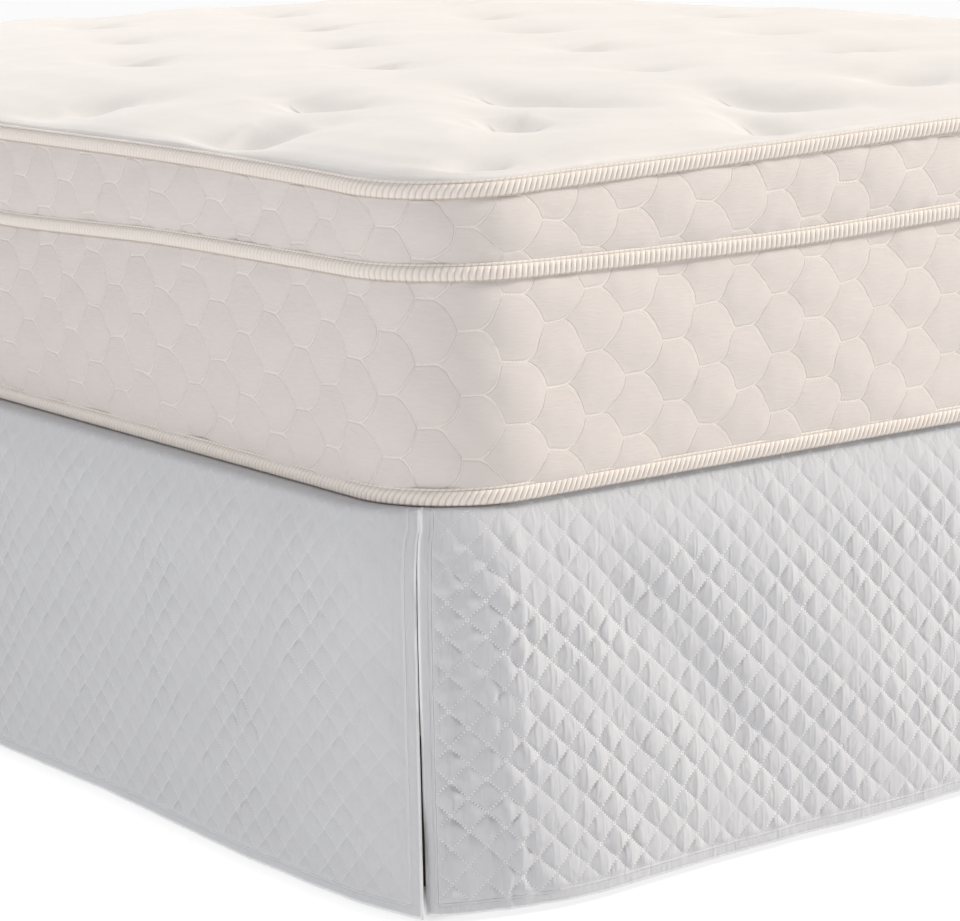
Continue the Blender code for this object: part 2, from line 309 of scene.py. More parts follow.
@dataclass(frozen=True)
class DiamondQuilting:
    """Diamond quilting sewn through thin wadding: its repeat and how high its puffs stand."""

    repeat: float = 0.0332
    puff: float = 0.0031
    cells: int = 8
    shift: tuple[int, int] = (6, -1)

    @property
    def cell(self) -> float:
        """Grid spacing that lets the stitching run from corner to corner of its squares."""
        return self.repeat / self.cells

    def loft(self, u: np.ndarray, v: np.ndarray) -> np.ndarray:
        """Shapes the puffs: small pillows with an off-centre crest and a pucker or two up them.

        Args:
            u: Distance along the cloth.
            v: Distance down it.

        Returns:
            The height above the stitching at each point, in metres.
        """
        a, b = (u + v) / self.repeat, (u - v) / self.repeat
        i, j = np.floor(a + 1e-6), np.floor(b + 1e-6)
        luck = [chance(i, j, seed) for seed in range(8)]
        p, q = np.clip(a - i, 0, 1), np.clip(b - j, 0, 1)
        pillow = (16 * p * (1 - p) * q * (1 - q)) ** 0.62
        across, down = p + q - 1, p - q
        crest = 0.5 * (luck[1] - 0.4)
        tent = 1 - (0.35 + 0.35 * luck[2]) * np.abs(across - crest)
        lean = across - 0.25 * down * (luck[3] - 0.5)
        pucker_at = 0.9 * (luck[4] - 0.5)
        pucker = 0.34 * luck[5] * bell(lean - pucker_at, 0.15)
        second = 0.22 * luck[6] * bell(lean + 0.7 * pucker_at - 0.3, 0.12)
        fill = 0.72 + 0.5 * luck[7]
        return self.puff * fill * pillow * (tent - pucker - second)


@dataclass(frozen=True)
class OnionQuilting:
    """Quilting in round cells with tails, sewn in lines that fall and rise by steps.

    Each line runs level for the first part, flat, of every step of a half cell.
    """

    half_wide: float
    steps: int
    high: float = 0.0575
    flat: float = 0.36
    puff: float = 0.0026

    def lines(self, u: np.ndarray, v: np.ndarray) -> Pair:
        """Counts the sewn lines.

        Args:
            u: Distance along the cloth.
            v: Distance up it.

        Returns:
            Two counts that are whole numbers on the falling and on the rising lines.
        """
        count = u / self.half_wide
        gone = np.clip((count - np.floor(count) - self.flat) / (1 - self.flat), 0, 1)
        stair = np.floor(count) + gone * gone
        return v / self.high + stair / 2, v / self.high - stair / 2

    def loft(self, u: np.ndarray, v: np.ndarray) -> np.ndarray:
        """Shapes the puffs.

        Args:
            u: Distance along the cloth.
            v: Distance up it.

        Returns:
            The height above the stitching at each point, in metres.
        """
        falling, rising = self.lines(u, v)
        i, j = np.floor(falling + 1e-6), np.floor(rising + 1e-6)
        pillow = np.abs(np.sin(math.pi * falling) * np.sin(math.pi * rising)) ** 0.5
        return self.puff * (0.8 + 0.4 * chance((i - j) % self.steps, i + j, 11)) * pillow


def flat_grid(columns: int, rows: int) -> bmesh.types.BMesh:
    """Makes a flat grid whose squares measure 1, with its first corner at the origin.

    Args:
        columns: Squares along X.
        rows: Squares along Y.

    Returns:
        The grid, with its vertices in rows from the first corner and a UV layer.
    """
    bm = bmesh.new()
    bm.loops.layers.uv.new(UV_MAP)
    bmesh.ops.create_grid(bm, x_segments=columns, y_segments=rows, size=0.5)
    bmesh.ops.translate(bm, vec=(0.5, 0.5, 0), verts=bm.verts)
    bmesh.ops.scale(bm, vec=(columns, rows, 1), verts=bm.verts)
    for face in bm.faces:
        face.smooth = True
    return bm


def split_on_stitches(bm: bmesh.types.BMesh, quilting: DiamondQuilting) -> None:
    """Cuts a flat grid's squares along the diamond stitching and keeps those edges crisp.

    Args:
        bm: The flat grid.
        quilting: The quilting, whose squares the grid's are.
    """
    for face in list(bm.faces):
        corner = face.verts[0].co
        i, j = round(corner.x) - quilting.shift[0], round(corner.y) - quilting.shift[1]
        ends = ()
        if (i - j) % quilting.cells == 0:
            ends = (face.verts[0], face.verts[2])
        elif (i + j + 1) % quilting.cells == 0:
            ends = (face.verts[1], face.verts[3])
        if ends:
            bmesh.utils.face_split(face, *ends)
            bm.edges.get(ends).smooth = False


def mesh_object(name: str, bm: bmesh.types.BMesh) -> bpy.types.Object:
    """Turns an edited mesh into a new object in the scene.

    Args:
        name: The object's name.
        bm: The edited mesh, which is freed.

    Returns:
        The object.
    """
    mesh = bpy.data.meshes.new(name)
    bm.to_mesh(mesh)
    bm.free()
    made = bpy.data.objects.new(name, mesh)
    bpy.context.scene.collection.objects.link(made)
    return made


def mesh_again(piece: bpy.types.Object) -> bmesh.types.BMesh:
    """Turns an object back into an edited mesh.

    Args:
        piece: The object, which is removed.

    Returns:
        The edited mesh.
    """
    bm = bmesh.new()
    bm.from_mesh(piece.data)
    bpy.data.objects.remove(piece)
    return bm


def shape_grid(piece: bpy.types.Object, uv: Pair, points: np.ndarray) -> None:
    """Gives a flat grid's vertices their places on the flat cloth and in the finished piece.

    Args:
        piece: The grid's object.
        uv: The vertices' distances along and up the flat cloth, in metres.
        points: Their new places, as rows of x, y and z.
    """
    mesh = piece.data
    corner = np.empty(len(mesh.loops), dtype=np.int32)
    mesh.loops.foreach_get("vertex_index", corner)
    flat = np.stack(uv, axis=-1).astype(np.float32)[corner]
    mesh.uv_layers[UV_MAP].uv.foreach_set("vector", flat.ravel())
    mesh.vertices.foreach_set("co", points.astype(np.float32).ravel())
    mesh.update()


def set_share(mesh: bpy.types.Mesh, name: str, values: np.ndarray) -> None:
    """Writes a number at each vertex, which a material reads by its name."""
    layer = mesh.attributes.new(name, "FLOAT", "POINT")
    layer.data.foreach_set("value", values.astype(np.float32))


def grid_points(columns: int, rows: int) -> Pair:
    """Column and row numbers of a flat grid's vertices, in their order."""
    row, column = np.divmod(np.arange((columns + 1) * (rows + 1)), columns + 1)
    return column.astype(float), row.astype(float)


def fit_piece(piece: bpy.types.Object, node: str, slot: str, *cloths: bpy.types.Material) -> None:
    """Dresses a piece, puts it in the body, and hides the solid that it stands for.

    Args:
        piece: The piece.
        node: The solid that it replaces.
        slot: Not used.
        cloths: Its materials, in order.
    """
    for material in cloths:
        piece.data.materials.append(material)
    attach(piece, BODY)
    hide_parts(node)


def linear(colour: str) -> tuple[float, float, float, float]:
    """Turns a colour from sRGB to linear.

    Args:
        colour: An sRGB hex colour, such as "E6E0DA".

    Returns:
        Its linear red, green and blue, with full alpha.
    """
    parts = [int(colour[i : i + 2], 16) / 255 for i in (0, 2, 4)]
    values = [c / 12.92 if c <= 0.04045 else ((c + 0.055) / 1.055) ** 2.4 for c in parts]
    return values[0], values[1], values[2], 1.0


def add_node(
    tree: bpy.types.NodeTree,
    kind: str,
    *values: Any,
    inputs: dict[str | int, Any] | None = None,
    **settings: Any,
) -> bpy.types.NodeSocket:
    """Adds a node with its settings, and sets or links its inputs.

    Args:
        tree: The material's node tree.
        kind: The node's type, without the "ShaderNode" at its start.
        values: Values or output sockets for its first inputs, in order.
        inputs: The same for others, by the input's name or number.
        settings: The node's own properties.

    Returns:
        The new node's first output, whose node gives the others.
    """
    node = tree.nodes.new("ShaderNode" + kind)
    for name, value in settings.items():
        setattr(node, name, value)
    for name, value in (dict(enumerate(values)) | (inputs or {})).items():
        if isinstance(value, bpy.types.NodeSocket):
            tree.links.new(value, node.inputs[name])
        else:
            node.inputs[name].default_value = value
    return node.outputs[0]


# Settings that many nodes share, and the height of a woven thread in metres.
SOFT = {"interpolation_type": "SMOOTHSTEP"}
MULTIPLY = {"operation": "MULTIPLY"}
ADD = {"operation": "ADD"}
SUBTRACT = {"operation": "SUBTRACT"}
ADD_SHARE = {"operation": "MULTIPLY_ADD"}
THREAD_HEIGHT = 0.00006


@dataclass(frozen=True)
class Finish:
    """A surface finish: its name, colour, and how rough and how downy it is."""

    name: str
    colour: str
    roughness: float = 0.85
    sheen: float = 0.0

    def material(self) -> bpy.types.Material:
        """Builds the finish.

        Returns:
            The material.
        """
        made = bpy.data.materials.new(self.name)
        made.use_nodes = True
        shader = made.node_tree.nodes["Principled BSDF"]
        values = {"Base Color": linear(self.colour), "Roughness": self.roughness}
        values |= {"Sheen Weight": self.sheen, "Sheen Roughness": 0.5, "Specular IOR Level": 0.25}
        for name, value in values.items():
            shader.inputs[name].default_value = value
        self.detail(made.node_tree, shader)
        return made

    def detail(self, tree: bpy.types.NodeTree, shader: bpy.types.Node) -> None:
        """Adds the finish's own pattern to its shader."""

    def weave(self, tree: bpy.types.NodeTree, spacing: float) -> bpy.types.NodeSocket:
        """Weaves a plain cloth's threads on the cloth's own UV map.

        Args:
            tree: The material's node tree.
            spacing: Distance between threads, in metres.

        Returns:
            The threads' height, in metres.
        """
        add = partial(add_node, tree)
        place = add("UVMap", uv_map=UV_MAP)
        turns = {"Scale": 2 * math.pi / spacing}
        waves = add("VectorMath", place, inputs=turns, operation="SCALE")
        waves = add("VectorMath", waves, operation="SINE")
        split = add("SeparateXYZ", waves).node.outputs
        crossed = add("Math", split[0], split[1], **MULTIPLY)
        return add("Math", crossed, THREAD_HEIGHT, **MULTIPLY)


@dataclass(frozen=True)
class QuiltedCotton(Finish):
    """Brushed cotton over wadding: sewn lines dot it, creases break its puffs, the weave dulls it.

    The hem's sizes are distances in from its rim, each relief is a height, and gathers and
    wrinkles are counts to a metre along the cloth and down it.
    """

    quilting: DiamondQuilting = DiamondQuilting()
    stitches_to_side: float = 7.0
    thread: str = "E1E1E2"
    # Colour of the painted highlight on the hem's rim and on the band's fold.
    rim: str = "EAEAEA"
    # Colour of the painted shade along the sewn lines, between the stitches.
    painted_line_shade: str = "EEEDEC"
    fold_at: float = 0.0119
    seam_at: float = 0.0096
    gathered_to: float = 0.05
    gathers: tuple[float, float, float] = (210, 30, 1)
    wrinkles: tuple[float, float, float] = (100, 42, 1)
    thread_relief: float = 0.0003
    line_relief: float = -0.0002
    hem_relief: float = 0.0012
    gathered_relief: float = 0.0010
    crushed_relief: float = 0.0018

    def detail(self, tree: bpy.types.NodeTree, shader: bpy.types.Node) -> None:
        """Adds stitches on both sets of lines, creases, the hem's topstitching and the weave.

        Args:
            tree: The material's node tree.
            shader: The material's shader.
        """
        add = partial(add_node, tree)
        place = add("UVMap", uv_map=UV_MAP)
        across = math.sqrt(2) / self.quilting.repeat
        on_lines = {"Scale": (across, across, 1), "Rotation": (0, 0, math.pi / 4)}
        turned = add("Mapping", place, inputs=on_lines)
        quilted = add("Attribute", attribute_name="quilted").node.outputs["Fac"]
        line, thread = self.stitches(tree, turned)
        sunk = add("Math", line, quilted, **MULTIPLY)
        sewn = add("Math", thread, quilted, **MULTIPLY)
        ridge = add("Math", self.creases(tree, turned), quilted, **MULTIPLY)
        hem = add("Attribute", attribute_name="from_hem").node.outputs["Fac"]
        seam = self.topstitch(tree, hem)
        drawn = add("Mapping", place, inputs={"Scale": self.gathers, "Location": (3, 1, 0)})
        pucker = add("TexNoise", drawn, inputs={"Scale": 1.0, "Detail": 2.0})
        near_hem = add("MapRange", hem, 0.012, self.gathered_to, 1.0, 0.3, **SOFT)
        gathered = add("Math", pucker, near_hem, **MULTIPLY)
        pinched = add("Mapping", place, inputs={"Scale": self.wrinkles})
        noise = {"Scale": 1.0, "Detail": 1.0, "Distortion": 0.7}
        crushed = add("TexNoise", pinched, inputs=noise)
        height = add("Math", self.weave(tree, Weave.QUILT_SHELL.value), ridge, **ADD)
        reliefs = (
            (sewn, self.thread_relief),
            (sunk, self.line_relief),
            (seam, self.hem_relief),
            (gathered, self.gathered_relief),
            (crushed, self.crushed_relief),
        )
        for part, tall in reliefs:
            height = add("Math", part, tall, height, **ADD_SHARE)
        bump = add("Bump", inputs={"Height": height, "Distance": 1.0, "Strength": 1.0})
        tree.links.new(bump, shader.inputs["Normal"])
        # Painted shade along the sewn lines, between the stitches.
        line_shade_mask = add("Math", sunk, sewn, use_clamp=True, **SUBTRACT)
        light = add("MixRGB", sewn, linear(self.colour), linear(self.thread))
        # A painted highlight along the hem's rim and along the band's fold.
        rim_highlight_mask = add("MapRange", hem, 0.0014, 0.0028, 1, 0)
        off_fold = add("Math", hem, self.fold_at, **SUBTRACT)
        from_fold = add("Math", off_fold, operation="ABSOLUTE")
        fold = add("MapRange", from_fold, 0.0002, 0.0012, 0.7, 0)
        rim_highlight_mask = add("Math", rim_highlight_mask, fold, operation="MAXIMUM")
        rim_highlighted = add("MixRGB", rim_highlight_mask, light, linear(self.rim))
        shade = add("MixRGB", line_shade_mask, rim_highlighted, linear(self.painted_line_shade), blend_type="MULTIPLY")
        tree.links.new(shade, shader.inputs["Base Color"])

    def stitches(
        self, tree: bpy.types.NodeTree, turned: bpy.types.NodeSocket
    ) -> tuple[bpy.types.NodeSocket, bpy.types.NodeSocket]:
        """Finds the sewn lines and the thread on them.

        Args:
            tree: The material's node tree.
            turned: The cloth's place, with whole numbers on the sewn lines.

        Returns:
            How near each point is to a line, and to the thread of a stitch, from 0 to 1.
        """
        add = partial(add_node, tree)
        pace = {"Scale": self.stitches_to_side}
        paced = add("VectorMath", turned, inputs=pace, operation="SCALE")
        on_line = {6: self.off_whole(tree, turned), 7: (0.018, 0.018, 0), 8: (0.046, 0.046, 1)}
        on_line |= {9: (1, 1, 0), 10: (0, 0, 0)}
        in_dash = {6: self.off_whole(tree, paced), 7: (0.10, 0.10, 0), 8: (0.25, 0.25, 1)}
        in_dash |= {9: (0, 0, 0), 10: (1, 1, 0)}
        found = []
        for near in (on_line, in_dash):
            share = add("MapRange", inputs=near, data_type="FLOAT_VECTOR", **SOFT).node.outputs[1]
            found.append(add("SeparateXYZ", share).node.outputs)
        line, dash = found
        threads = [add("Math", line[k], dash[1 - k], **MULTIPLY) for k in (0, 1)]
        any_line = add("Math", line[0], line[1], operation="MAXIMUM")
        return any_line, add("Math", threads[0], threads[1], operation="MAXIMUM")

    def creases(
        self, tree: bpy.types.NodeTree, turned: bpy.types.NodeSocket
    ) -> bpy.types.NodeSocket:
        """Runs a broad ridge and two sharp creases up each puff, off its middle by chance.

        Args:
            tree: The material's node tree.
            turned: The cloth's place, with whole numbers on the sewn lines.

        Returns:
            Their height, in metres.
        """
        add = partial(add_node, tree)
        cell = add("VectorMath", turned, operation="FLOOR")
        noise = add("TexWhiteNoise", inputs={"Vector": cell}, noise_dimensions="2D")
        luck = add("SeparateXYZ", noise.node.outputs[1]).node.outputs
        part = add("VectorMath", turned, operation="FRACTION")
        rest = add("VectorMath", (1, 1, 1), part, **SUBTRACT)
        pillow = add("VectorMath", part, rest, **MULTIPLY)
        side = add("SeparateXYZ", part).node.outputs
        dome = add("SeparateXYZ", pillow).node.outputs
        inner = add("Math", dome[0], dome[1], **MULTIPLY)
        mask = add("MapRange", inner, 0.0, 0.03, 0.0, 1.0, **SOFT)
        across = add("Math", side[0], side[1], **ADD)
        height = 0.0
        runs = ((0.7, 0.75, 0.0020), (1.0, 0.15, 0.0008), (1.2, 0.11, 0.0006))
        for k, (reach, wide, tall) in enumerate(runs):
            at = add("MapRange", luck[k], 0.0, 1.0, 1 - reach / 2, 1 + reach / 2)
            off = add("Math", across, at, **SUBTRACT)
            away = add("Math", off, operation="ABSOLUTE")
            rise = add("MapRange", away, 0.0, wide, tall, 0.0)
            ridge = add("Math", rise, luck[(k + 1) % 3], **MULTIPLY)
            height = add("Math", ridge, mask, height, **ADD_SHARE)
        return height

    def topstitch(
        self, tree: bpy.types.NodeTree, hem: bpy.types.NodeSocket
    ) -> bpy.types.NodeSocket:
        """Doubles the cloth at the hem, with a sewn groove just inside the band's fold.

        Args:
            tree: The material's node tree.
            hem: Distance in from the hem's rim.

        Returns:
            The relief, as a share of the band's.
        """
        add = partial(add_node, tree)
        band = add("MapRange", hem, 0.0112, 0.0126, 1, 0, **SOFT)
        off_seam = add("Math", hem, self.seam_at, **SUBTRACT)
        away = add("Math", off_seam, operation="ABSOLUTE")
        sunk = add("MapRange", away, 0.0003, 0.0012, -0.3, 0, **SOFT)
        return add("Math", band, sunk, **ADD)

    def off_whole(
        self, tree: bpy.types.NodeTree, value: bpy.types.NodeSocket
    ) -> bpy.types.NodeSocket:
        """Finds how far each part of a vector is from the nearest whole number.

        Args:
            tree: The material's node tree.
            value: The vector.

        Returns:
            The distances, as a vector.
        """
        add, half = partial(add_node, tree, "VectorMath"), (0.5, 0.5, 0.5)
        part = add(add(value, half, **ADD), operation="FRACTION")
        return add(add(part, half, **SUBTRACT), operation="ABSOLUTE")


@dataclass(frozen=True)
class QuiltedTicking(Finish):
    """Woven mattress ticking: pale thread sunk in scalloped lines, over a faint slubby weave."""

    quilting: OnionQuilting = OnionQuilting(0.045, 152)
    slubs: str = "D8CFCB"
    thread: str = "E4DDD5"
    stitches: float = 330.0
    slub_scale: tuple[float, float, float] = (60, 420, 1)
    groove_relief: float = -0.0007
    thread_relief: float = 0.00045
    slub_relief: float = 0.0004

    def detail(self, tree: bpy.types.NodeTree, shader: bpy.types.Node) -> None:
        """Adds the sunk lines of stitching, the slubs and the weave.

        Args:
            tree: The material's node tree.
            shader: The material's shader.
        """
        add = partial(add_node, tree)
        place = add("UVMap", uv_map=UV_MAP)
        split = add("SeparateXYZ", place).node.outputs
        count = add("Math", split[0], 1 / self.quilting.half_wide, **MULTIPLY)
        whole = add("Math", count, operation="FLOOR")
        part = add("Math", count, operation="FRACT")
        gone = add("MapRange", part, self.quilting.flat, 1, 0, 1)
        stair = add("Math", gone, gone, whole, **ADD_SHARE)
        half = add("Math", stair, 0.5, **MULTIPLY)
        rows = add("Math", split[1], 1 / self.quilting.high, **MULTIPLY)
        falling = add("Math", rows, half, **ADD)
        rising = add("Math", rows, half, **SUBTRACT)
        nearest = [add("Math", line, 0.5, operation="PINGPONG") for line in (falling, rising)]
        gap = add("Math", *nearest, operation="MINIMUM")
        groove = add("MapRange", gap, 0.004, 0.050, 1, 0, **SOFT)
        on_line = add("MapRange", gap, 0.006, 0.024, 1, 0, **SOFT)
        paced = add("VectorMath", place, inputs={"Scale": self.stitches}, operation="SCALE")
        pace = add("SeparateXYZ", paced).node.outputs
        crossed = add("Math", pace[0], pace[1], **ADD)
        dash = add("Math", crossed, 0.5, operation="PINGPONG")
        shown = add("MapRange", dash, 0.1, 0.25, 0.5, 1.0)
        thread = add("Math", on_line, shown, **MULTIPLY)
        drawn = add("Mapping", place, inputs={"Scale": self.slub_scale})
        slub = add("TexNoise", drawn, inputs={"Scale": 1.0, "Detail": 3.0, "Roughness": 0.6})
        height = self.weave(tree, Weave.TICKING.value)
        reliefs = (
            (groove, self.groove_relief),
            (thread, self.thread_relief),
            (slub, self.slub_relief),
        )
        for share, tall in reliefs:
            height = add("Math", share, tall, height, **ADD_SHARE)
        bump = add("Bump", inputs={"Height": height, "Distance": 1.0, "Strength": 1.0})
        tree.links.new(bump, shader.inputs["Normal"])
        ground = add("MixRGB", slub, linear(self.colour), linear(self.slubs))
        sewn = add("MixRGB", thread, ground, linear(self.thread))
        tree.links.new(sewn, shader.inputs["Base Color"])


@dataclass(frozen=True)
class ClothFinish(Finish):
    """Plain cloth: an even weave or knit with a slightly mottled colour."""

    spacing: float = 0.0014
    mottle: str = "E8E4DF"
    relief: float = 0.0003

    def detail(self, tree: bpy.types.NodeTree, shader: bpy.types.Node) -> None:
        """Adds the weave's height and the mottling.

        Args:
            tree: The material's node tree.
            shader: The material's shader.
        """
        add = partial(add_node, tree)
        place = add("TexCoord").node.outputs["Object"]
        blotch = add("TexNoise", place, inputs={"Scale": 26.0, "Detail": 4.0, "Roughness": 0.6})
        tone = add("MixRGB", blotch, linear(self.colour), linear(self.mottle))
        tree.links.new(tone, shader.inputs["Base Color"])
        threads = {"Scale": 1 / self.spacing, "Detail": 2.0, "Roughness": 0.5}
        grain = add("TexNoise", place, inputs=threads)
        bump = add("Bump", inputs={"Height": grain, "Distance": self.relief, "Strength": 1.0})
        tree.links.new(bump, shader.inputs["Normal"])


@dataclass(frozen=True)
class TuftedKnit(ClothFinish):
    """Stretch knit of the top: a soft cloth, pinched into short creases at its tufts, with painted
    shade in them.
    """

    pinch: float = 0.0030
    # Colour of the painted shade in each crease.
    shade: str = "CECAC6"

    def detail(self, tree: bpy.types.NodeTree, shader: bpy.types.Node) -> None:
        """Adds the knit's grain, and the crease at each tuft with the painted shade inside it.

        Args:
            tree: The material's node tree.
            shader: The material's shader.
        """
        super().detail(tree, shader)
        add = partial(add_node, tree)
        off = add("Attribute", attribute_name="crease_off").node.outputs["Fac"]
        share = add("Attribute", attribute_name="crease_share").node.outputs["Fac"]
        away = add("Math", off, operation="ABSOLUTE")
        near = add("MapRange", away, 0, self.pinch, 1, 0, **SOFT)
        line = add("Math", near, share, **MULTIPLY)
        deep = add("Math", line, -self.pinch, **MULTIPLY)
        bump = shader.inputs["Normal"].links[0].from_node
        grain = bump.inputs["Height"].links[0].from_socket
        tree.links.new(add("Math", deep, grain, **ADD), bump.inputs["Height"])
        # Painted shade along each crease.
        tone = shader.inputs["Base Color"].links[0].from_socket
        shaded = add("MixRGB", line, tone, linear(self.shade), blend_type="MULTIPLY")
        tree.links.new(shaded, shader.inputs["Base Color"])


@dataclass(frozen=True)
class RibbedTape(ClothFinish):
    """Mattress binding: fine weave over ribs, with painted shade between them."""

    pitch: float = 0.0060
    under: tuple[float, float] = (0.0042, 0.0054)
    seam_at: float = 0.0178
    painted_gap_shade: str = "EEEAE6"
    painted_edge_shade: str = "E2DDD8"

    def detail(self, tree: bpy.types.NodeTree, shader: bpy.types.Node) -> None:
        """Adds the weave, painted shade between the ribs, and painted shade along the tape's two
        edges.

        Args:
            tree: The material's node tree.
            shader: The material's shader.
        """
        super().detail(tree, shader)
        add = partial(add_node, tree)
        along, up = add("SeparateXYZ", add("UVMap", uv_map=UV_MAP)).node.outputs[:2]
        count = add("Math", along, 1 / self.pitch, **MULTIPLY)
        off = add("Math", count, 0.5, operation="PINGPONG")
        # Painted shade in the gaps between the ribs.
        between = add("MapRange", off, 0.02, 0.20, 1.0, 0.0, **SOFT)
        tone = shader.inputs["Base Color"].links[0].from_socket
        # Painted shadow on the tape's underside, and painted shade along its sewn groove.
        below = add("MapRange", up, *self.under, 1.0, 0.0)
        off_seam = add("Math", up, self.seam_at, **SUBTRACT)
        away = add("Math", off_seam, operation="ABSOLUTE")
        sewn = add("MapRange", away, 0.0002, 0.0012, 1.0, 0.0)
        edges = add("Math", below, sewn, operation="MAXIMUM")
        for part, colour in ((between, self.painted_gap_shade), (edges, self.painted_edge_shade)):
            tone = add("MixRGB", part, tone, linear(colour), blend_type="MULTIPLY")
        tree.links.new(tone, shader.inputs["Base Color"])


@dataclass(frozen=True)
class TurnedBeech(Finish):
    """Lacquered beech: fine grain along the leg, with the soft gloss of a satin coat."""

    grain: str = "2A1D16"

    def detail(self, tree: bpy.types.NodeTree, shader: bpy.types.Node) -> None:
        """Adds grain that runs along Z.

        Args:
            tree: The material's node tree.
            shader: The material's shader.
        """
        add = partial(add_node, tree)
        place = add("TexCoord").node.outputs["Object"]
        drawn = add("Mapping", place, inputs={"Scale": (240, 240, 9)})
        grain = add("TexNoise", drawn, inputs={"Scale": 1.0, "Detail": 5.0, "Roughness": 0.6})
        tone = add("MixRGB", grain, linear(self.colour), linear(self.grain))
        tree.links.new(tone, shader.inputs["Base Color"])
        bump = add("Bump", inputs={"Height": grain, "Distance": 0.0002, "Strength": 0.6})
        tree.links.new(bump, shader.inputs["Normal"])


@dataclass(frozen=True)
class QuiltedDrop:
    """One hanging panel of the skirt, with its ledge under the mattress and its hem.

    At the hem its ends draw back by open_start and open_end, and its first tip sags by tip_sag.
    """

    name: str
    node: str
    start: float
    way: int
    length: float
    open_start: float
    open_end: float
    tip_sag: float
    hem: Profile
    folds: tuple[Fold, ...]
    seed: int
    quilting: DiamondQuilting = DiamondQuilting()
    turn_radius: float = 0.006
    ledge: float = 0.024
    top: float = CLOTH_TOP - 0.006
    bottom: float = 0.008
    slit_top: float = 0.366
    full: float = 1.0
    slack: float = 0.25
    crumpled: float = 0.0
    inward_from: float = 0.42
    spring_reach: float = 0.050
    tip_reach: float = 0.060
    hem_cells: int = 3
    spring: float = 0.0072
    drift: Waves = Waves(0.0013, 0.11)
    ripple: Waves = Waves(0.0007, 0.085)
    wander: Waves = Waves(0.0009, 0.16)
    patches: Waves = Waves(0.26, 0.12)
    level_wrinkles: Waves = Waves(1.0, 0.017)
    upright_wrinkles: Waves = Waves(1.0, 0.015)

    @property
    def fall(self) -> float:
        """Length of the hanging part."""
        return self.top - self.bottom

    @property
    def lying(self) -> float:
        """Length of the part that turns over the edge and lies on it."""
        return self.turn_radius * math.pi / 2 + self.ledge

    def build(self, material: bpy.types.Material) -> bpy.types.Object:
        """Makes the panel as a thin quilted sheet.

        Args:
            material: The quilted cloth.

        Returns:
            The finished piece, riding on the bed.
        """
        cell = self.quilting.cell
        long = self.fall + self.lying
        columns, rows = round(self.length / cell), round(long / cell)
        bm = flat_grid(columns, rows)
        split_on_stitches(bm, self.quilting)
        panel = mesh_object(self.name, bm)
        column, row = grid_points(columns, rows)
        u = column * cell
        v = self.fall - row / rows * long
        across = (column - self.quilting.shift[0]) * cell
        above = (row - self.quilting.shift[1]) * cell
        quilted, from_hem = self.quilted_share(u, v, columns * cell)
        uneven = self.unevenness(u, v)
        puff = self.quilting.loft(across, above) * quilted * uneven
        shape_grid(panel, (across, above), self.hang(column / columns, u, v, puff))
        set_share(panel.data, "quilted", quilted * np.clip(uneven, 0, 1) ** 1.6)
        set_share(panel.data, "from_hem", from_hem)
        if self.way < 0:
            panel.data.flip_normals()
        wall = panel.modifiers.new("wadding", "SOLIDIFY")
        wall.thickness = CLOTH
        wall.offset = -1.0
        wall.use_even_offset = False
        fit_piece(panel, self.node, "quilted_cotton", material)
        LOG.info("%s: %d squares, puffs to %.1f mm", self.name, columns * rows, puff.max() * 1000)
        return panel

    def quilted_share(self, u: np.ndarray, v: np.ndarray, long: float) -> Pair:
        """Finds where the stitching shows, clear of the hem.

        Args:
            u: Distance along the panel.
            v: Distance below the fold at the top.
            long: The panel's length.

        Returns:
            The stitching's share, from 0 to 1, and the distance from the nearest hemmed edge.
        """
        from_hem = np.minimum(self.fall - v, u)
        if self.open_end:
            from_hem = np.minimum(from_hem, long - u)
        band = self.hem_cells * self.quilting.cell
        return smooth_step((from_hem - band) / 0.003), from_hem

    def hang(self, mark: np.ndarray, u: np.ndarray, v: np.ndarray, puff: np.ndarray) -> np.ndarray:
        """Takes the flat cloth to the shape in which it hangs.

        Args:
            mark: How far along the panel each point is, from 0 to 1.
            u: The same in metres.
            v: Distance below the fold at the top, less than 0 on the ledge.
            puff: Height of the quilting's puffs.

        Returns:
            The points.
        """
        level = np.clip(v / self.fall, 0, 1)
        slit = (self.top - self.slit_top) / self.fall
        opening = np.clip((level - slit) / (1 - slit), 0, 1) ** 0.35
        first, last = self.open_start * opening, self.length - self.open_end * opening
        at = first + (last - first) * mark
        inner = smooth_step((u - 0.02) / 0.04) * smooth_step((self.length - 0.02 - u) / 0.04)
        drift = self.drift.over(u, v, self.seed) * inner
        foot, outward = SKIRT_OUTLINE.place(self.start + self.way * (at + drift))
        ripple = self.ripple.over(u, v, self.seed + 1) * smooth_step(v / 0.05)
        hanging = smooth_step(v / 0.02)
        spring = self.spring * np.sin(math.pi / 2 * np.clip(v / self.spring_reach, 0, 1))
        spring = spring * (1 - 0.5 * smooth_step((v - 0.05) / 0.15))
        relief = (puff + ripple + self.crumple(u, v) - 0.0003) * hanging
        out = self.swing(at, level) + spring + relief
        turn = np.clip(-v / self.turn_radius, 0, math.pi / 2)
        beyond = np.maximum(-v - self.turn_radius * math.pi / 2, 0)
        out += self.turn_radius * (np.cos(turn) - 1) - beyond
        sag = self.tip_sag * smooth_step(1 - at / self.tip_reach)
        wander = self.wander.over(u, v, self.seed + 2) * level * (1 - level) * 4
        z = self.top + self.turn_radius * np.sin(turn) - (self.fall + sag) * level + wander
        place = foot + outward * out[:, None]
        return np.column_stack((place, z))

    def swing(self, at: np.ndarray, level: np.ndarray) -> np.ndarray:
        """Swings the cloth out and in along its hem and its folds.

        Args:
            at: Distance along the panel.
            level: 0 at the cloth's top and 1 at its hem.

        Returns:
            How far the cloth stands out.
        """
        out = self.hem.along(at)
        inward = smooth_step((level - self.inward_from) / (1 - self.inward_from))
        out = out * np.where(out > 0, level, inward)
        for fold in self.folds:
            middle = fold.top_at + (fold.hem_at - fold.top_at) * level
            out += fold.out * bell(at - middle, fold.width) * np.sin(math.pi * level)
        return out

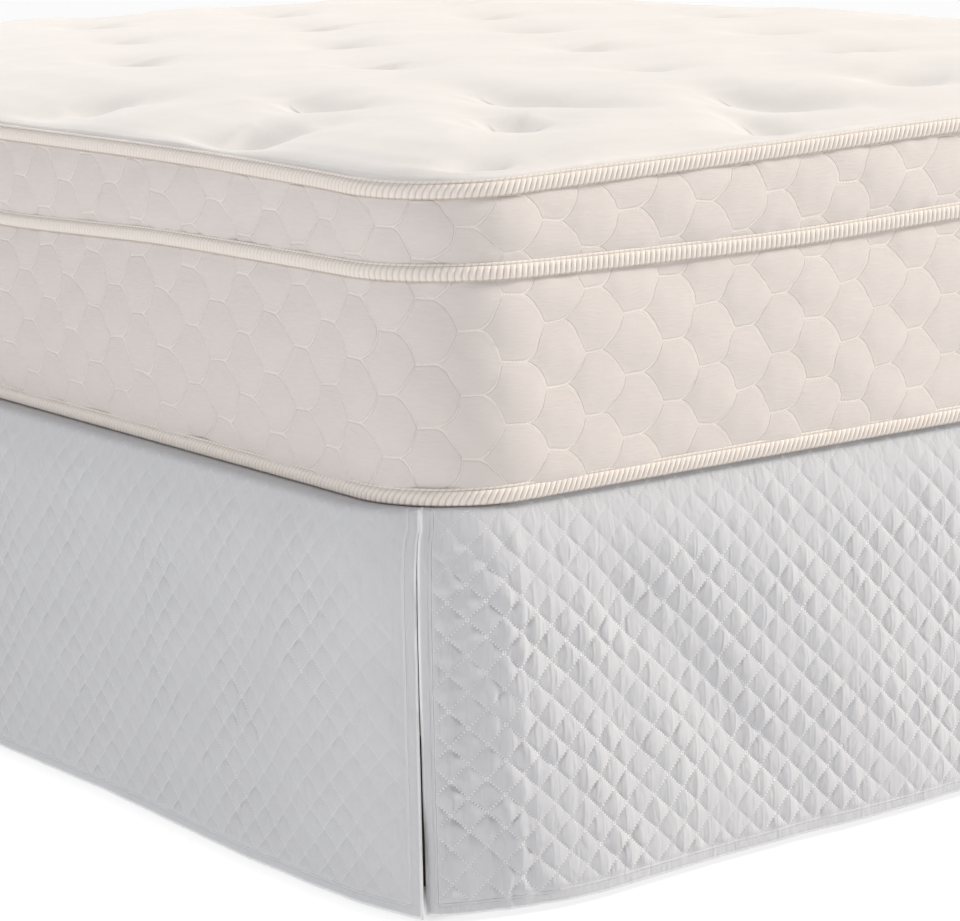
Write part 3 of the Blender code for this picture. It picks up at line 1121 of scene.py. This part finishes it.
    def crumple(self, u: np.ndarray, v: np.ndarray) -> np.ndarray:
        """Crushes the cloth beside the slit, mostly level near the edge and upright further in.

        Args:
            u: Distance along the panel.
            v: Distance below the fold at the top.

        Returns:
            The wrinkles' height.
        """
        if not self.crumpled:
            return np.zeros_like(u)
        near = 1 - smooth_step((u - 0.040) / 0.030)
        reach = smooth_step((u - 0.014) / 0.010) * (1 - smooth_step((u - 0.085) / 0.045))
        level = self.level_wrinkles.over(u * 0.35, v, self.seed + 5)
        upright = self.upright_wrinkles.over(u, v * 0.4, self.seed + 6)
        return self.crumpled * reach * (near * level + (1 - near) * upright)

    def unevenness(self, u: np.ndarray, v: np.ndarray) -> np.ndarray:
        """Varies the wadding: slack under the mattress and round the corner, fuller below.

        Args:
            u: Distance along the panel.
            v: Distance below the fold at the top.

        Returns:
            How full the wadding is, where 1 is plain.
        """
        below = 0.55 + 0.45 * smooth_step((v - 0.01) / 0.10)
        corner = self.slack + (1 - self.slack) * smooth_step((u - 0.060) / 0.070)
        if self.open_end:
            corner *= self.slack + (1 - self.slack) * smooth_step((self.length - u - 0.060) / 0.070)
        patchy = np.clip(0.90 + self.patches.over(u, v, self.seed + 3), 0.25, 1.25)
        return self.full * below * corner * patchy


SLIT = 0.0045
HEAD_WRAP = math.radians(40)
FOOT_LENGTH = SKIRT_OUTLINE.width + SKIRT_OUTLINE.quarter - 2 * SLIT
SIDE_LENGTH = (
    SKIRT_OUTLINE.depth + SKIRT_OUTLINE.quarter / 2 + SLIT + SKIRT_OUTLINE.radius * HEAD_WRAP
)

# How far the hems stand out or in at distances from the corner that each drop starts at.
FOOT_HEM = Profile(
    at=(
        -0.007, 0.006, 0.025, 0.055, 0.0745, 0.095, 0.124, 0.16, 0.195, 0.242, 0.318, 0.4, 0.425,
        0.496, 0.578, 0.632, 0.78, 0.93, 1.09, 1.23, 1.33, 1.4, 1.44, 1.483,
    ),
    value=(
        -0.008, -0.0054, -0.0074, -0.0086, -0.0041, -0.001, 0.006, 0.0095, 0.01, 0.007, 0.0035,
        0.0025, 0.0012, 0.0038, 0.003, -0.001, 0.004, -0.001, 0.006, 0.003, 0.008, -0.003, -0.008,
        -0.007,
    ),
)
LEFT_HEM = Profile(
    at=(
        0.009, 0.019, 0.034, 0.052, 0.075, 0.105, 0.135, 0.165, 0.216, 0.285, 0.362, 0.485, 0.568,
        0.694, 0.778, 0.96, 1.16, 1.37, 1.6, 1.81, 1.99,
    ),
    value=(
        0.0015, -0.0016, -0.0059, -0.0086, -0.0105, -0.009, -0.0068, -0.0045, -0.003, 0.0, -0.0008,
        -0.003, -0.002, 0.001, 0.003, 0.001, -0.004, 0.003, -0.001, 0.003, 0.0,
    ),
)
RIGHT_HEM = Profile(
    at=(
        0.008, 0.035, 0.075, 0.13, 0.22, 0.36, 0.52, 0.7, 0.88, 1.05, 1.26, 1.48, 1.7, 1.86, 1.99,
    ),
    value=(
        0.0005, -0.005, -0.008, -0.004, 0.0, 0.002, -0.002, 0.002, 0.003, -0.003, 0.001, 0.003,
        -0.002, 0.002, 0.0,
    ),
)
FOOT_FOLDS = (
    Fold(0.085, 0.095, 0.030, 0.0045),
    Fold(0.115, 0.450, 0.045, -0.0055),
    Fold(0.205, 0.205, 0.028, -0.0028),
    Fold(0.310, 0.600, 0.075, 0.0040),
    Fold(0.820, 0.700, 0.070, 0.005),
    Fold(1.060, 0.980, 0.055, -0.003),
    Fold(1.190, 1.280, 0.060, 0.005),
    Fold(1.380, 1.350, 0.030, 0.003),
)
LEFT_FOLDS = (
    Fold(0.090, 0.070, 0.030, -0.003),
    Fold(0.178, 0.172, 0.035, 0.006),
    Fold(0.430, 0.350, 0.060, 0.003),
    Fold(0.700, 0.640, 0.070, 0.004),
    Fold(1.020, 1.100, 0.080, 0.005),
    Fold(1.330, 1.260, 0.060, 0.004),
    Fold(1.700, 1.760, 0.080, 0.005),
)
RIGHT_FOLDS = (
    Fold(0.140, 0.180, 0.040, 0.005),
    Fold(0.420, 0.500, 0.070, 0.005),
    Fold(0.790, 0.730, 0.060, 0.004),
    Fold(1.120, 1.190, 0.080, 0.006),
    Fold(1.540, 1.470, 0.070, 0.004),
    Fold(1.800, 1.830, 0.050, 0.004),
)
DROPS = (
    QuiltedDrop(
        "quilted_drop_foot", "skirt_drop_foot", SLIT, 1, FOOT_LENGTH, -0.0068, -0.0060, 0.0,
        FOOT_HEM, FOOT_FOLDS, 21, slack=1.0, crumpled=0.0011,
    ),
    QuiltedDrop(
        "quilted_drop_left", "skirt_drop_left", SLIT, -1, SIDE_LENGTH, 0.0084, 0.0, 0.0015,
        LEFT_HEM, LEFT_FOLDS, 47, full=0.65, slack=0.6,
    ),
    QuiltedDrop(
        "quilted_drop_right", "skirt_drop_right", SLIT + FOOT_LENGTH, 1, SIDE_LENGTH, 0.0082, 0.0,
        0.0015, RIGHT_HEM, RIGHT_FOLDS, 83,
    ),
)

# How far the sewn seams sit above or below their level; distances below 0 run up the left side.
MIDDLE_SAG = Profile(
    at=(
        -3.43, -2.4, -1.3, -0.754, -0.586, -0.431, -0.268, 0.0, 0.146, 0.403, 0.634, 0.95, 1.45,
        2.1, 2.8, 3.43,
    ),
    value=(
        0.0, -0.004, -0.005, -0.0095, -0.005, 0.0, 0.0015, 0.002, -0.001, -0.003, 0.0025, -0.003,
        0.001, -0.005, 0.001, 0.0,
    ),
)
TOP_SAG = Profile(
    at=(
        -3.43, -2.3, -1.2, -0.754, -0.4, -0.15, 0.0, 0.15, 0.403, 0.634, 0.95, 1.45, 2.1, 2.8,
        3.43,
    ),
    value=(
        0.0, -0.002, 0.003, 0.001, 0.0015, -0.002, -0.006, -0.004, 0.001, 0.006, 0.002, -0.005,
        0.003, 0.0, 0.0,
    ),
)
# Steps of the ticking's quilting gone by at distances round the mattress.
QUILT_STEPS = Profile(
    at=(
        -MATTRESS_OUTLINE.length / 2, -0.526, -0.277, -0.09, 0.064, 0.283, 0.585,
        MATTRESS_OUTLINE.length / 2,
    ),
    value=(-75, -13, -8, -4, 0, 5, 12, 77),
)
# Heights of the crown at distances in from the mattress's outline.
CROWN_RISE = Profile(
    at=(0.0, 0.012, 0.035, 0.08, 0.16, 0.26, 1.0),
    value=(0.6845, 0.6905, 0.6985, 0.7085, 0.7180, 0.7220, 0.7220),
)
CREASES = (
    Crease((-0.510, -0.797), (-0.521, -0.855), (-0.475, -0.860), 0.0125, 0.034),
    Crease((-0.377, -0.593), (-0.403, -0.715), (-0.355, -0.820), 0.0110, 0.032),
    Crease((-0.218, -0.785), (-0.222, -0.865), (-0.150, -0.925), 0.0110, 0.032),
    Crease((-0.296, -0.915), (-0.306, -0.965), (-0.322, -1.012), 0.0115, 0.026),
    Crease((-0.718, -0.640), (-0.689, -0.672), (-0.632, -0.688), 0.0125, 0.038),
    Crease((-0.547, -0.501), (-0.556, -0.570), (-0.530, -0.625), 0.0110, 0.032),
    Crease((-0.690, -0.300), (-0.660, -0.315), (-0.630, -0.345), 0.0100, 0.036),
    Crease((-0.690, -1.000), (-0.662, -0.994), (-0.634, -1.012), 0.0090, 0.018),
)


@dataclass(frozen=True)
class Tufting:
    """Staggered tufts that pull short creases into the top, away from the listed creases."""

    columns: int = 5
    rows: int = 7
    apart: float = 0.29
    first: tuple[float, float] = (-0.58, -0.86)
    stray: float = 0.03
    last_x: float = 0.66
    clear: float = 0.17
    turn: float = -1.24
    half_length: float = 0.034
    bow: float = 0.012
    depth: float = 0.0095
    reach: float = 0.034

    def creases(self, by_hand: tuple[Crease, ...]) -> tuple[Crease, ...]:
        """Adds a crease at each tuft.

        Args:
            by_hand: The listed creases.

        Returns:
            All the creases.
        """
        tufts = list(by_hand)
        middles = [np.array(crease.middle) for crease in by_hand]
        for row in range(self.rows):
            for column in range(self.columns):
                at = np.float64(column), np.float64(row)
                luck = [float(chance(*at, seed)) - 0.5 for seed in range(6)]
                x = self.first[0] + self.apart * (column + row % 2 / 2) + self.stray * luck[0]
                y = self.first[1] + self.apart * row + self.stray * luck[1]
                middle = np.array((x, y))
                nearest = min(np.linalg.norm(middle - other) for other in middles)
                if x > self.last_x or nearest < self.clear:
                    continue
                turn = self.turn + 1.2 * luck[2]
                aim = np.array((math.cos(turn), math.sin(turn)))
                half = (self.half_length + 0.018 * luck[3]) * aim
                bow = self.bow * luck[4] * np.array((-half[1], half[0])) / np.linalg.norm(half)
                ends = (tuple(middle - half + bow), tuple(middle), tuple(middle + half + bow))
                tufts.append(Crease(*ends, self.depth + 0.003 * luck[5], self.reach))
        return tuple(tufts)


@dataclass(frozen=True)
class Mattress:
    """A pillow-top mattress: a quilted border, a quilted gusset above it, and a tufted crown.

    Of a crease's hollow, a near part is as wide as its reach and a far part as far_reach, and
    a lip stands up beside it. The quilting's lines cross at the crossing heights.
    """

    outline: Outline = MATTRESS_OUTLINE
    around: int = 1120
    border_rows: int = 42
    gusset_rows: int = 18
    shoulder_rows: int = 9
    seam_middle: float = 0.5955
    seam_top: float = 0.676
    seam_gap: float = 0.0004
    border_bulge: float = 0.0055
    border_crossing: float = 0.4583
    gusset_bulge: float = 0.0040
    gusset_crossing: float = 0.6105
    stray_along: Waves = Waves(0.0026, 0.075)
    stray_up: Waves = Waves(0.0020, 0.060)
    pucker: Waves = Waves(0.0008, 0.021)
    slack: Waves = Waves(0.0016, 0.22)
    unevenness: Waves = Waves(0.0013, 0.13)
    crown_inset: float = 0.045
    crown_columns: int = 190
    crown_rows: int = 262
    creases: tuple[Crease, ...] = Tufting().creases(CREASES)
    crease_depth: float = 1.45
    far_reach: float = 0.09
    lip: tuple[float, float] = (0.018, 0.010)

    @property
    def quilting(self) -> OnionQuilting:
        """The ticking's quilting, with an even number of steps all the way round."""
        steps = round(QUILT_STEPS.value[-1] - QUILT_STEPS.value[0])
        return OnionQuilting(self.outline.length / steps, steps)

    def go_round(self, rows: int) -> Triple:
        """Lays a ring's grid out, from the middle of the head round to it again.

        Args:
            rows: Squares up the ring.

        Returns:
            Each point's distance from the left foot corner, share of the way up, and
            quilted distance.
        """
        column, row = grid_points(self.around, rows)
        distance = (column / self.around - 0.5) * self.outline.length
        steps = QUILT_STEPS.along(distance)
        return distance, row / rows, steps * self.quilting.half_wide

    def lift(self, distance: np.ndarray, z: np.ndarray) -> np.ndarray:
        """Carries the cloth up or down with the seams above and below it.

        Args:
            distance: Distance round the mattress.
            z: The cloth's height before.

        Returns:
            How far up it goes.
        """
        marks = (MATTRESS_BOTTOM, self.seam_middle, self.seam_top)
        middle, top = MIDDLE_SAG.along(distance), TOP_SAG.along(distance)
        lower = middle * np.clip((z - marks[0]) / (marks[1] - marks[0]), 0, 1)
        share = np.clip((z - marks[1]) / (marks[2] - marks[1]), 0, 1)
        return lower + (top - middle) * share

    def wall(self, low: float, high: float, rows: int, bulge: float, crossing: float) -> Triple:
        """Shapes a quilted wall all the way round the mattress, between two seams.

        Args:
            low: Height of the lower seam.
            high: Height of the upper seam.
            rows: Squares between the two.
            bulge: How far the wall stands out halfway up.
            crossing: A height at which the lines of quilting cross.

        Returns:
            Points, distance round the mattress and distance up the cloth, row by row.
        """
        distance, up, sewn = self.go_round(rows)
        height = up * (high - low)
        place, outward = self.outline.place(distance)
        x, y = place[:, 0], place[:, 1]
        held = smooth_step(np.minimum(height, high - low - height) / 0.022)
        level = low + height - crossing
        sewn = sewn + self.stray_along.over(x + 1.3 * height, y + height, 31)
        level = level + self.stray_up.over(x - height, y + 1.3 * height, 32)
        puff = self.quilting.loft(sewn, level) * (0.25 + 0.75 * held)
        pulled = self.pucker.over(x, y, rows) * (1 - held)
        slack = self.slack.over(x + height, y + height, rows + 1) * held
        out = bulge * (1 - (2 * up - 1) ** 2) ** 0.7 + puff + pulled + slack - 0.001
        place = place + outward * out[:, None]
        z = low + height + self.lift(distance, low + height)
        return np.column_stack((place, z)), sewn, level

    def shoulder(self, rows: int) -> Triple:
        """Shapes the roll from the top seam in to the crown's rim.

        Args:
            rows: Squares between the two.

        Returns:
            Points, distance round the mattress and distance in from the seam, row by row.
        """
        distance, share, sewn = self.go_round(rows)
        keep = share > 0
        distance, share = distance[keep], share[keep]
        inset = share**1.4 * (self.crown_inset - 0.005)
        place, outward = self.outline.place(distance)
        place = place - outward * inset[:, None]
        z = self.crown_height(place[:, 0], place[:, 1])
        z = z + TOP_SAG.along(distance) * (1 - share)
        return np.column_stack((place, z)), sewn[keep], 0.07 + inset

    def band(self, name: str, *parts: Triple) -> bmesh.types.BMesh:
        """Makes one ring of cloth from walls and shoulders that follow each other upwards.

        Args:
            name: A name for the ring's mesh.
            parts: The walls and shoulders, from the lowest.

        Returns:
            The ring, open above and below.
        """
        points, distance, height = (np.concatenate(values) for values in zip(*parts))
        rows = len(distance) // (self.around + 1) - 1
        ring = mesh_object(name, flat_grid(self.around, rows))
        shape_grid(ring, (distance, height), points)
        bm = mesh_again(ring)
        bmesh.ops.remove_doubles(bm, verts=bm.verts, dist=0.00005)
        return bm

    def close(self, bm: bmesh.types.BMesh, crown: bmesh.types.BMesh | None) -> None:
        """Caps a ring of cloth below, and caps it above or bridges it to the crown.

        Args:
            bm: The ring.
            crown: The crown, which is freed, or None for a cap.
        """
        rims = [e for e in bm.edges if e.is_boundary]
        heights = [e.verts[0].co.z for e in rims]
        middle = (min(heights) + max(heights)) / 2
        upper = [e for e in rims if e.verts[0].co.z >= middle]
        bmesh.ops.contextual_create(bm, geom=[e for e in rims if e.verts[0].co.z < middle])
        if crown is None:
            bmesh.ops.contextual_create(bm, geom=upper)
        else:
            held = bpy.data.meshes.new("crown")
            crown.to_mesh(held)
            crown.free()
            known = set(bm.edges)
            bm.from_mesh(held)
            bpy.data.meshes.remove(held)
            inner = [e for e in bm.edges if e.is_boundary and e not in known]
            bmesh.ops.bridge_loops(bm, edges=upper + inner)
        bmesh.ops.recalc_face_normals(bm, faces=bm.faces)
        for face in bm.faces:
            face.smooth = len(face.verts) < 5

    def crown_height(self, x: np.ndarray, y: np.ndarray) -> np.ndarray:
        """Rounds the tufted top and sinks its creases.

        Args:
            x: The points' x.
            y: The points' y.

        Returns:
            The top's height at each point.
        """
        inset = self.outline.inside(x, y)
        z = np.interp(inset, CROWN_RISE.at, CROWN_RISE.value)
        inner = smooth_step((inset - 0.004) / 0.028)
        for crease in self.creases:
            off, gone = crease.near(x, y)
            full = self.crease_depth * crease.depth * (0.5 + 2.0 * gone * (1 - gone)) * inner
            hollow = 0.8 * bell(off, crease.reach) + 0.7 * bell(off, self.far_reach)
            lip = 0.25 * bell(off + self.lip[0], self.lip[1])
            lip = lip * smooth_step(gone * (1 - gone) / 0.16)
            z = z - full * (hollow - lip)
        return z + self.unevenness.over(x, y, 9)

    def mark_creases(self, mesh: bpy.types.Mesh) -> None:
        """Stores how far each point of the top is from its nearest crease, and its strength.

        Args:
            mesh: The mattress's mesh.
        """
        places = np.empty(len(mesh.vertices) * 3)
        mesh.vertices.foreach_get("co", places)
        x, y, z = places.reshape(-1, 3).T
        nearest, strong = np.full_like(x, 9.0), np.zeros_like(x)
        for crease in self.creases:
            off, gone = crease.near(x, y)
            closer = np.abs(off) < np.abs(nearest)
            nearest = np.where(closer, off, nearest)
            fade = smooth_step((gone * (1 - gone) - 0.06) / 0.16)
            fade = fade * smooth_step((0.024 - np.abs(off)) / 0.012)
            strong = np.where(closer, fade, strong)
        set_share(mesh, "crease_off", np.clip(nearest, -0.05, 0.05))
        set_share(mesh, "crease_share", strong * smooth_step((z - self.seam_top) / 0.012))

    def crown(self) -> bmesh.types.BMesh:
        """Makes the crown's inner part.

        Returns:
            A fine grid, pressed to the mattress's round corners.
        """
        piece = mesh_object("crown_part", flat_grid(self.crown_columns, self.crown_rows))
        column, row = grid_points(self.crown_columns, self.crown_rows)
        across, along = column / self.crown_columns * 2 - 1, row / self.crown_rows * 2 - 1
        x, y = self.outline.fit(across, along, self.crown_inset)
        shape_grid(piece, (x, y), np.column_stack((x, y, self.crown_height(x, y))))
        return mesh_again(piece)

    def build(self, ticking: bpy.types.Material, knit: bpy.types.Material) -> None:
        """Makes the core and the pillow top.

        Args:
            ticking: The quilted cloth of the walls.
            knit: The smooth cloth of the crown.
        """
        low, high, rows = self.seam_middle + self.seam_gap, self.seam_top, self.gusset_rows
        gusset = self.wall(low, high, rows, self.gusset_bulge, self.gusset_crossing)
        low, high, rows = MATTRESS_BOTTOM, self.seam_middle, self.border_rows
        border = self.wall(low, high, rows, self.border_bulge, self.border_crossing)
        core = self.band("border_part", border)
        self.close(core, None)
        pillow = self.band("gusset_part", gusset, self.shoulder(self.shoulder_rows))
        self.close(pillow, self.crown())
        made = (
            (mesh_object("mattress_core", core), 0.9, self.border_rows),
            (mesh_object("mattress_pillow_top", pillow), 0.7, self.gusset_rows),
        )
        for piece, fill, walled in made:
            fit_piece(piece, "mattress", "mattress_ticking", ticking, knit)
            for face in piece.data.polygons:
                face.material_index = int(face.index >= walled * self.around)
            self.mark_creases(piece.data)
            LOG.info("%s: %d faces", piece.name, len(piece.data.polygons))


# The tape's section from its back edge below, round its front, to the same edge again.
TAPE_SECTION = (
    Bend(0.0000, 0.0002, 0.0),
    Bend(0.0030, 0.0002, 0.3),
    Bend(0.0048, 0.0024, 0.9),
    Bend(0.0054, 0.0068, 1.0),
    Bend(0.0048, 0.0108, 1.0),
    Bend(0.0030, 0.0131, 0.4),
    Bend(0.0012, 0.0136, 0.0),
    Bend(0.0024, 0.0149, 0.0),
    Bend(0.0014, 0.0160, 0.0),
    Bend(0.0000, 0.0160, 0.0),
    Bend(0.0000, 0.0002, 0.0),
)


@dataclass(frozen=True)
class BindingTape:
    """A ribbed tape sewn round the mattress over a seam; its ribs lean by lean for each metre up.

    The cloth's UV map runs up by uv_step from each bend of its section to the next.
    """

    name: str
    node: str
    bottom: float
    lean: float
    sag: Profile | None
    height: float = 0.016
    pitch: float = 0.0060
    rib: float = 0.0012
    bow: float = -0.0018
    stand_off: float = 0.0008
    uv_step: float = 0.003

    def build(self, outline: Outline, material: bpy.types.Material) -> bpy.types.Object:
        """Makes the tape as a closed ring with raised ribs.

        Args:
            outline: The mattress's outline, which the tape is sewn round.
            material: The tape's cloth.

        Returns:
            The finished piece.
        """
        ribs = round(outline.length / self.pitch)
        columns, rows = 3 * ribs, len(TAPE_SECTION) - 1
        tape = mesh_object(self.name, flat_grid(columns, rows))
        column, row = grid_points(columns, rows)
        out, up, ribbed = (np.array(part)[row.astype(int)] for part in zip(*TAPE_SECTION))
        raised = np.where(column % 3 == 0, -1.0, 0.35) * self.rib * ribbed
        distance = (column / columns - 0.5) * outline.length
        z = self.bottom + up
        if self.sag:
            z = z + self.sag.along(distance)
        bow = self.bow * (1 - (2 * up / self.height - 1) ** 2)
        bend = self.lean * (up - self.height / 2) + bow
        place, outward = outline.place(distance + bend)
        place = place + outward * (out + raised + self.stand_off)[:, None]
        uv = (column / 3 * self.pitch, row * self.uv_step)
        shape_grid(tape, uv, np.column_stack((place, z)))
        bm = bmesh.new()
        bm.from_mesh(tape.data)
        valleys = {v for v, c in zip(bm.verts, column) if c % 3 == 0}
        for edge in bm.edges:
            edge.smooth = not valleys.issuperset(edge.verts)
        bmesh.ops.remove_doubles(bm, verts=bm.verts, dist=0.00002)
        bmesh.ops.recalc_face_normals(bm, faces=bm.faces)
        bm.to_mesh(tape.data)
        bm.free()
        fit_piece(tape, self.node, "binding_tape", material)
        LOG.info("%s: %d ribs", self.name, ribs)
        return tape


TAPES = (
    BindingTape("ribbed_tape_bottom", "mattress_tape_bottom", 0.3882, 0.55, None),
    BindingTape("ribbed_tape_middle", "mattress_tape_middle", 0.5875, 0.18, MIDDLE_SAG),
    BindingTape("ribbed_tape_top", "mattress_tape_top", 0.668, 0.45, TOP_SAG),
)


@dataclass(frozen=True)
class Foundation:
    """The upholstered base: cloth-covered sides with rounded edges, and a dust cover below."""

    outline: Outline = BASE_OUTLINE
    top: float = BASE_TOP
    height: float = 0.209
    edge: float = 0.006

    def build(self, cover: bpy.types.Material, dust: bpy.types.Material) -> bpy.types.Object:
        """Makes the covered box.

        Args:
            cover: The cloth on its sides and top.
            dust: The dark cloth underneath.

        Returns:
            The finished piece.
        """
        bm = bmesh.new()
        bm.loops.layers.uv.new(UV_MAP)
        bmesh.ops.create_cube(bm, size=1.0)
        size = (self.outline.right * 2, self.outline.head * 2, self.height)
        bmesh.ops.scale(bm, vec=size, verts=bm.verts)
        bmesh.ops.translate(bm, vec=(0, 0, self.top - self.height / 2), verts=bm.verts)
        upright = [e for e in bm.edges if abs(e.verts[0].co.z - e.verts[1].co.z) > 0.1]
        round_edge = {"affect": "EDGES", "profile": 0.5, "material": -1}
        bmesh.ops.bevel(bm, geom=upright, offset=self.outline.radius, segments=16, **round_edge)
        flat = {f for f in bm.faces if abs(f.normal.z) > 0.9}
        rim = [e for e in bm.edges if not flat.isdisjoint(e.link_faces)]
        bmesh.ops.bevel(bm, geom=rim, offset=self.edge, segments=4, **round_edge)
        for face in bm.faces:
            face.smooth = abs(face.normal.z) < 0.99
            face.material_index = 1 if face.normal.z < -0.99 else 0
        base = mesh_object("foundation_cover", bm)
        fit_piece(base, "box_spring", "base_ticking", cover, dust)
        LOG.info("%s: %.0f mm high", base.name, self.height * 1000)
        return base


@dataclass(frozen=True)
class Deck:
    """The skirt's plain deck, laid flat on the base inside the ledges of the drops."""

    outline: Outline = SKIRT_OUTLINE
    inset: float = 0.0306
    columns: int = 36
    rows: int = 48

    def build(self, material: bpy.types.Material) -> bpy.types.Object:
        """Makes the deck as a thin sheet with round corners.

        Args:
            material: Its plain cloth.

        Returns:
            The finished piece.
        """
        deck = mesh_object("deck_sheet", flat_grid(self.columns, self.rows))
        column, row = grid_points(self.columns, self.rows)
        across, along = column / self.columns * 2 - 1, row / self.rows * 2 - 1
        x, y = self.outline.fit(across, along, self.inset)
        shape_grid(deck, (x, y), np.column_stack((x, y, np.full_like(x, CLOTH_TOP))))
        wall = deck.modifiers.new("cloth", "SOLIDIFY")
        wall.thickness = CLOTH
        wall.offset = -1.0
        fit_piece(deck, "skirt_deck", "deck_muslin", material)
        return deck


@dataclass(frozen=True)
class StudioLight:
    """A soft light that faces the bed; its width is in metres, or in degrees if it is distant."""

    name: str
    kind: LightKind
    place: tuple[float, float, float]
    power: float
    width: float
    colour: str

    def build(self) -> None:
        """Adds the light."""
        light = bpy.data.lights.new(self.name, self.kind.value)
        light.energy = self.power
        light.color = linear(self.colour)[:3]
        if self.kind is LightKind.DISTANT:
            light.angle = math.radians(self.width)
        else:
            light.size = self.width
        lamp = bpy.data.objects.new(self.name, light)
        lamp.location = self.place
        lamp.rotation_euler = Vector(self.place).to_track_quat("Z", "Y").to_euler()
        bpy.context.scene.collection.objects.link(lamp)


LIGHTS = (
    StudioLight("key", LightKind.PANEL, (5.9, -4.4, 5.6), 805.0, 2.2, "FFF9F2"),
    StudioLight("fill", LightKind.PANEL, (-4.1, -1.4, 2.8), 59.0, 1.6, "FAFAFD"),
    StudioLight("overhead", LightKind.DISTANT, (0.0, 0.0, 1.0), 0.25, 60.0, "FFFBF7"),
    StudioLight("behind", LightKind.PANEL, (0.4, 6.0, 3.3), 275.0, 1.6, "FFFBF7"),
)


@dataclass(frozen=True)
class Studio:
    """A white floor and backdrop that glow by themselves, soft lights, and the camera.

    The floor's glow gives way to a painted shade in the hollow under the bed, from dark_in to
    light_in inside the skirt's foot and sides, and from open_from on towards the open head end.
    """

    floor_size: float = 60.0
    floor_glow: float = 0.85
    shaded_hollow_glow: float = 0.05
    dark_in: float = 0.10
    light_in: float = 0.03
    open_from: float = 0.35
    ceiling_glow: float = 0.20
    camera_at: tuple[float, float, float] = (-2.3073, -3.3157, 0.9989)
    camera_turn: tuple[float, float, float] = (78.555, 1.645, -35.598)
    lens: float = 121.55
    sensor: float = 36.0

    def build(self) -> None:
        """Sets up the floor, lights, surroundings and camera."""
        self.add_floor()
        for light in LIGHTS:
            light.build()
        self.add_backdrop()
        bpy.context.scene.view_settings.view_transform = "Standard"
        self.add_camera()

    def add_backdrop(self) -> None:
        """Surrounds the bed with a backdrop, white down by the floor and dim overhead."""
        world = bpy.data.worlds.new("white_cove")
        world.use_nodes = True
        tree = world.node_tree
        background = tree.nodes["Background"]
        towards = add_node(tree, "TexCoord").node.outputs["Generated"]
        height = add_node(tree, "SeparateXYZ", towards).node.outputs[2]
        glow = add_node(tree, "MapRange", height, 0.08, 0.30, 1.0, self.ceiling_glow, **SOFT)
        background.inputs["Color"].default_value = linear("F7F9FE")
        tree.links.new(glow, background.inputs["Strength"])
        bpy.context.scene.world = world

    def add_floor(self) -> None:
        """Lays the floor, which glows white outside the bed, with a painted shade in the hollow
        under it.
        """
        bm = bmesh.new()
        bmesh.ops.create_grid(bm, x_segments=1, y_segments=1, size=self.floor_size / 2)
        floor = mesh_object("studio_floor", bm)
        finish = bpy.data.materials.new("white_floor_paint")
        finish.use_nodes = True
        tree = finish.node_tree
        shader = tree.nodes["Principled BSDF"]
        shader.inputs["Base Color"].default_value = linear("8C8C8C")
        shader.inputs["Roughness"].default_value = 0.9
        shader.inputs["Emission Color"].default_value = (1, 1, 1, 1)
        add = partial(add_node, tree)
        place = add("TexCoord").node.outputs["Object"]
        at = add("SeparateXYZ", place).node.outputs
        across = add("Math", at[0], operation="ABSOLUTE")
        side, end = SKIRT_OUTLINE.right, SKIRT_OUTLINE.head
        edges = (
            (across, side - self.dark_in, side - self.light_in),
            (at[1], -end + self.dark_in, -end + self.light_in),
            (at[1], self.open_from, end),
        )
        # The glow drops to a painted shade in the hollow under the bed.
        lit = None
        for edge in edges:
            beyond = add("MapRange", *edge, self.shaded_hollow_glow, self.floor_glow, **SOFT)
            lit = add("Math", beyond, beyond if lit is None else lit, operation="MAXIMUM")
        tree.links.new(lit, shader.inputs["Emission Strength"])
        floor.data.materials.append(finish)

    def add_camera(self) -> None:
        """Places the camera and makes it the scene's own."""
        data = bpy.data.cameras.new("camera")
        data.lens = self.lens
        data.sensor_width = self.sensor
        data.clip_end = 200.0
        camera = bpy.data.objects.new("camera", data)
        camera.location = self.camera_at
        camera.rotation_euler = [math.radians(a) for a in self.camera_turn]
        bpy.context.scene.collection.objects.link(camera)
        bpy.context.scene.camera = camera


def cloth(name: str, colour: str, roughness: float, weave: Weave, mottle: str) -> ClothFinish:
    """A plain cloth without down."""
    return ClothFinish(name, colour, roughness, 0.0, weave.value, mottle)


def main() -> None:
    """Builds the bed and dresses it with the skirt, then sets up the studio."""
    logging.basicConfig(level=logging.INFO, format="%(name)s %(message)s")
    shell = QuiltedCotton("quilted_brushed_cotton", "C6C6C8", 0.85, 0.05).material()
    for drop in DROPS:
        drop.build(shell)
    mattress = Mattress()
    ticking = QuiltedTicking("quilted_damask_ticking", "CEC7C1", 0.8, 0.05, mattress.quilting)
    knit = TuftedKnit("stretch_knit", "DCD9D5", 0.85, 0.08, Weave.TICKING.value, "E5E1DD")
    mattress.build(ticking.material(), knit.material())
    tape = RibbedTape("ribbed_cotton_tape", "E0D7CF", 0.6, 0.1, Weave.TICKING.value, "E4DDD5")
    tape_cloth = tape.material()
    for binding in TAPES:
        binding.build(mattress.outline, tape_cloth)
    cover = cloth("woven_base_cloth", "D2CCC5", 0.9, Weave.BASE_CLOTH, "DCD7D1")
    dust = cloth("spunbond_dust_cover", "3C3C3E", 0.95, Weave.MUSLIN, "4A4A4C")
    Foundation().build(cover.material(), dust.material())
    muslin = cloth("cotton_muslin", "EDEDEB", 0.9, Weave.MUSLIN, "F2F2F0")
    Deck().build(muslin.material())
    # The legs' beech is stained nearly black, partly as painted shade for the dark under the bed
    # seen through the slit.
    beech = TurnedBeech("beech_darkened_as_shade", "3B2A20", 0.4).material()
    for name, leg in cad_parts.items():
        if name.startswith("leg_"):
            leg.data.materials.clear()
            leg.data.materials.append(beech)
            LOG.info("%s: beech", name)
    Studio().build()


if __name__ == "__main__":
    main()
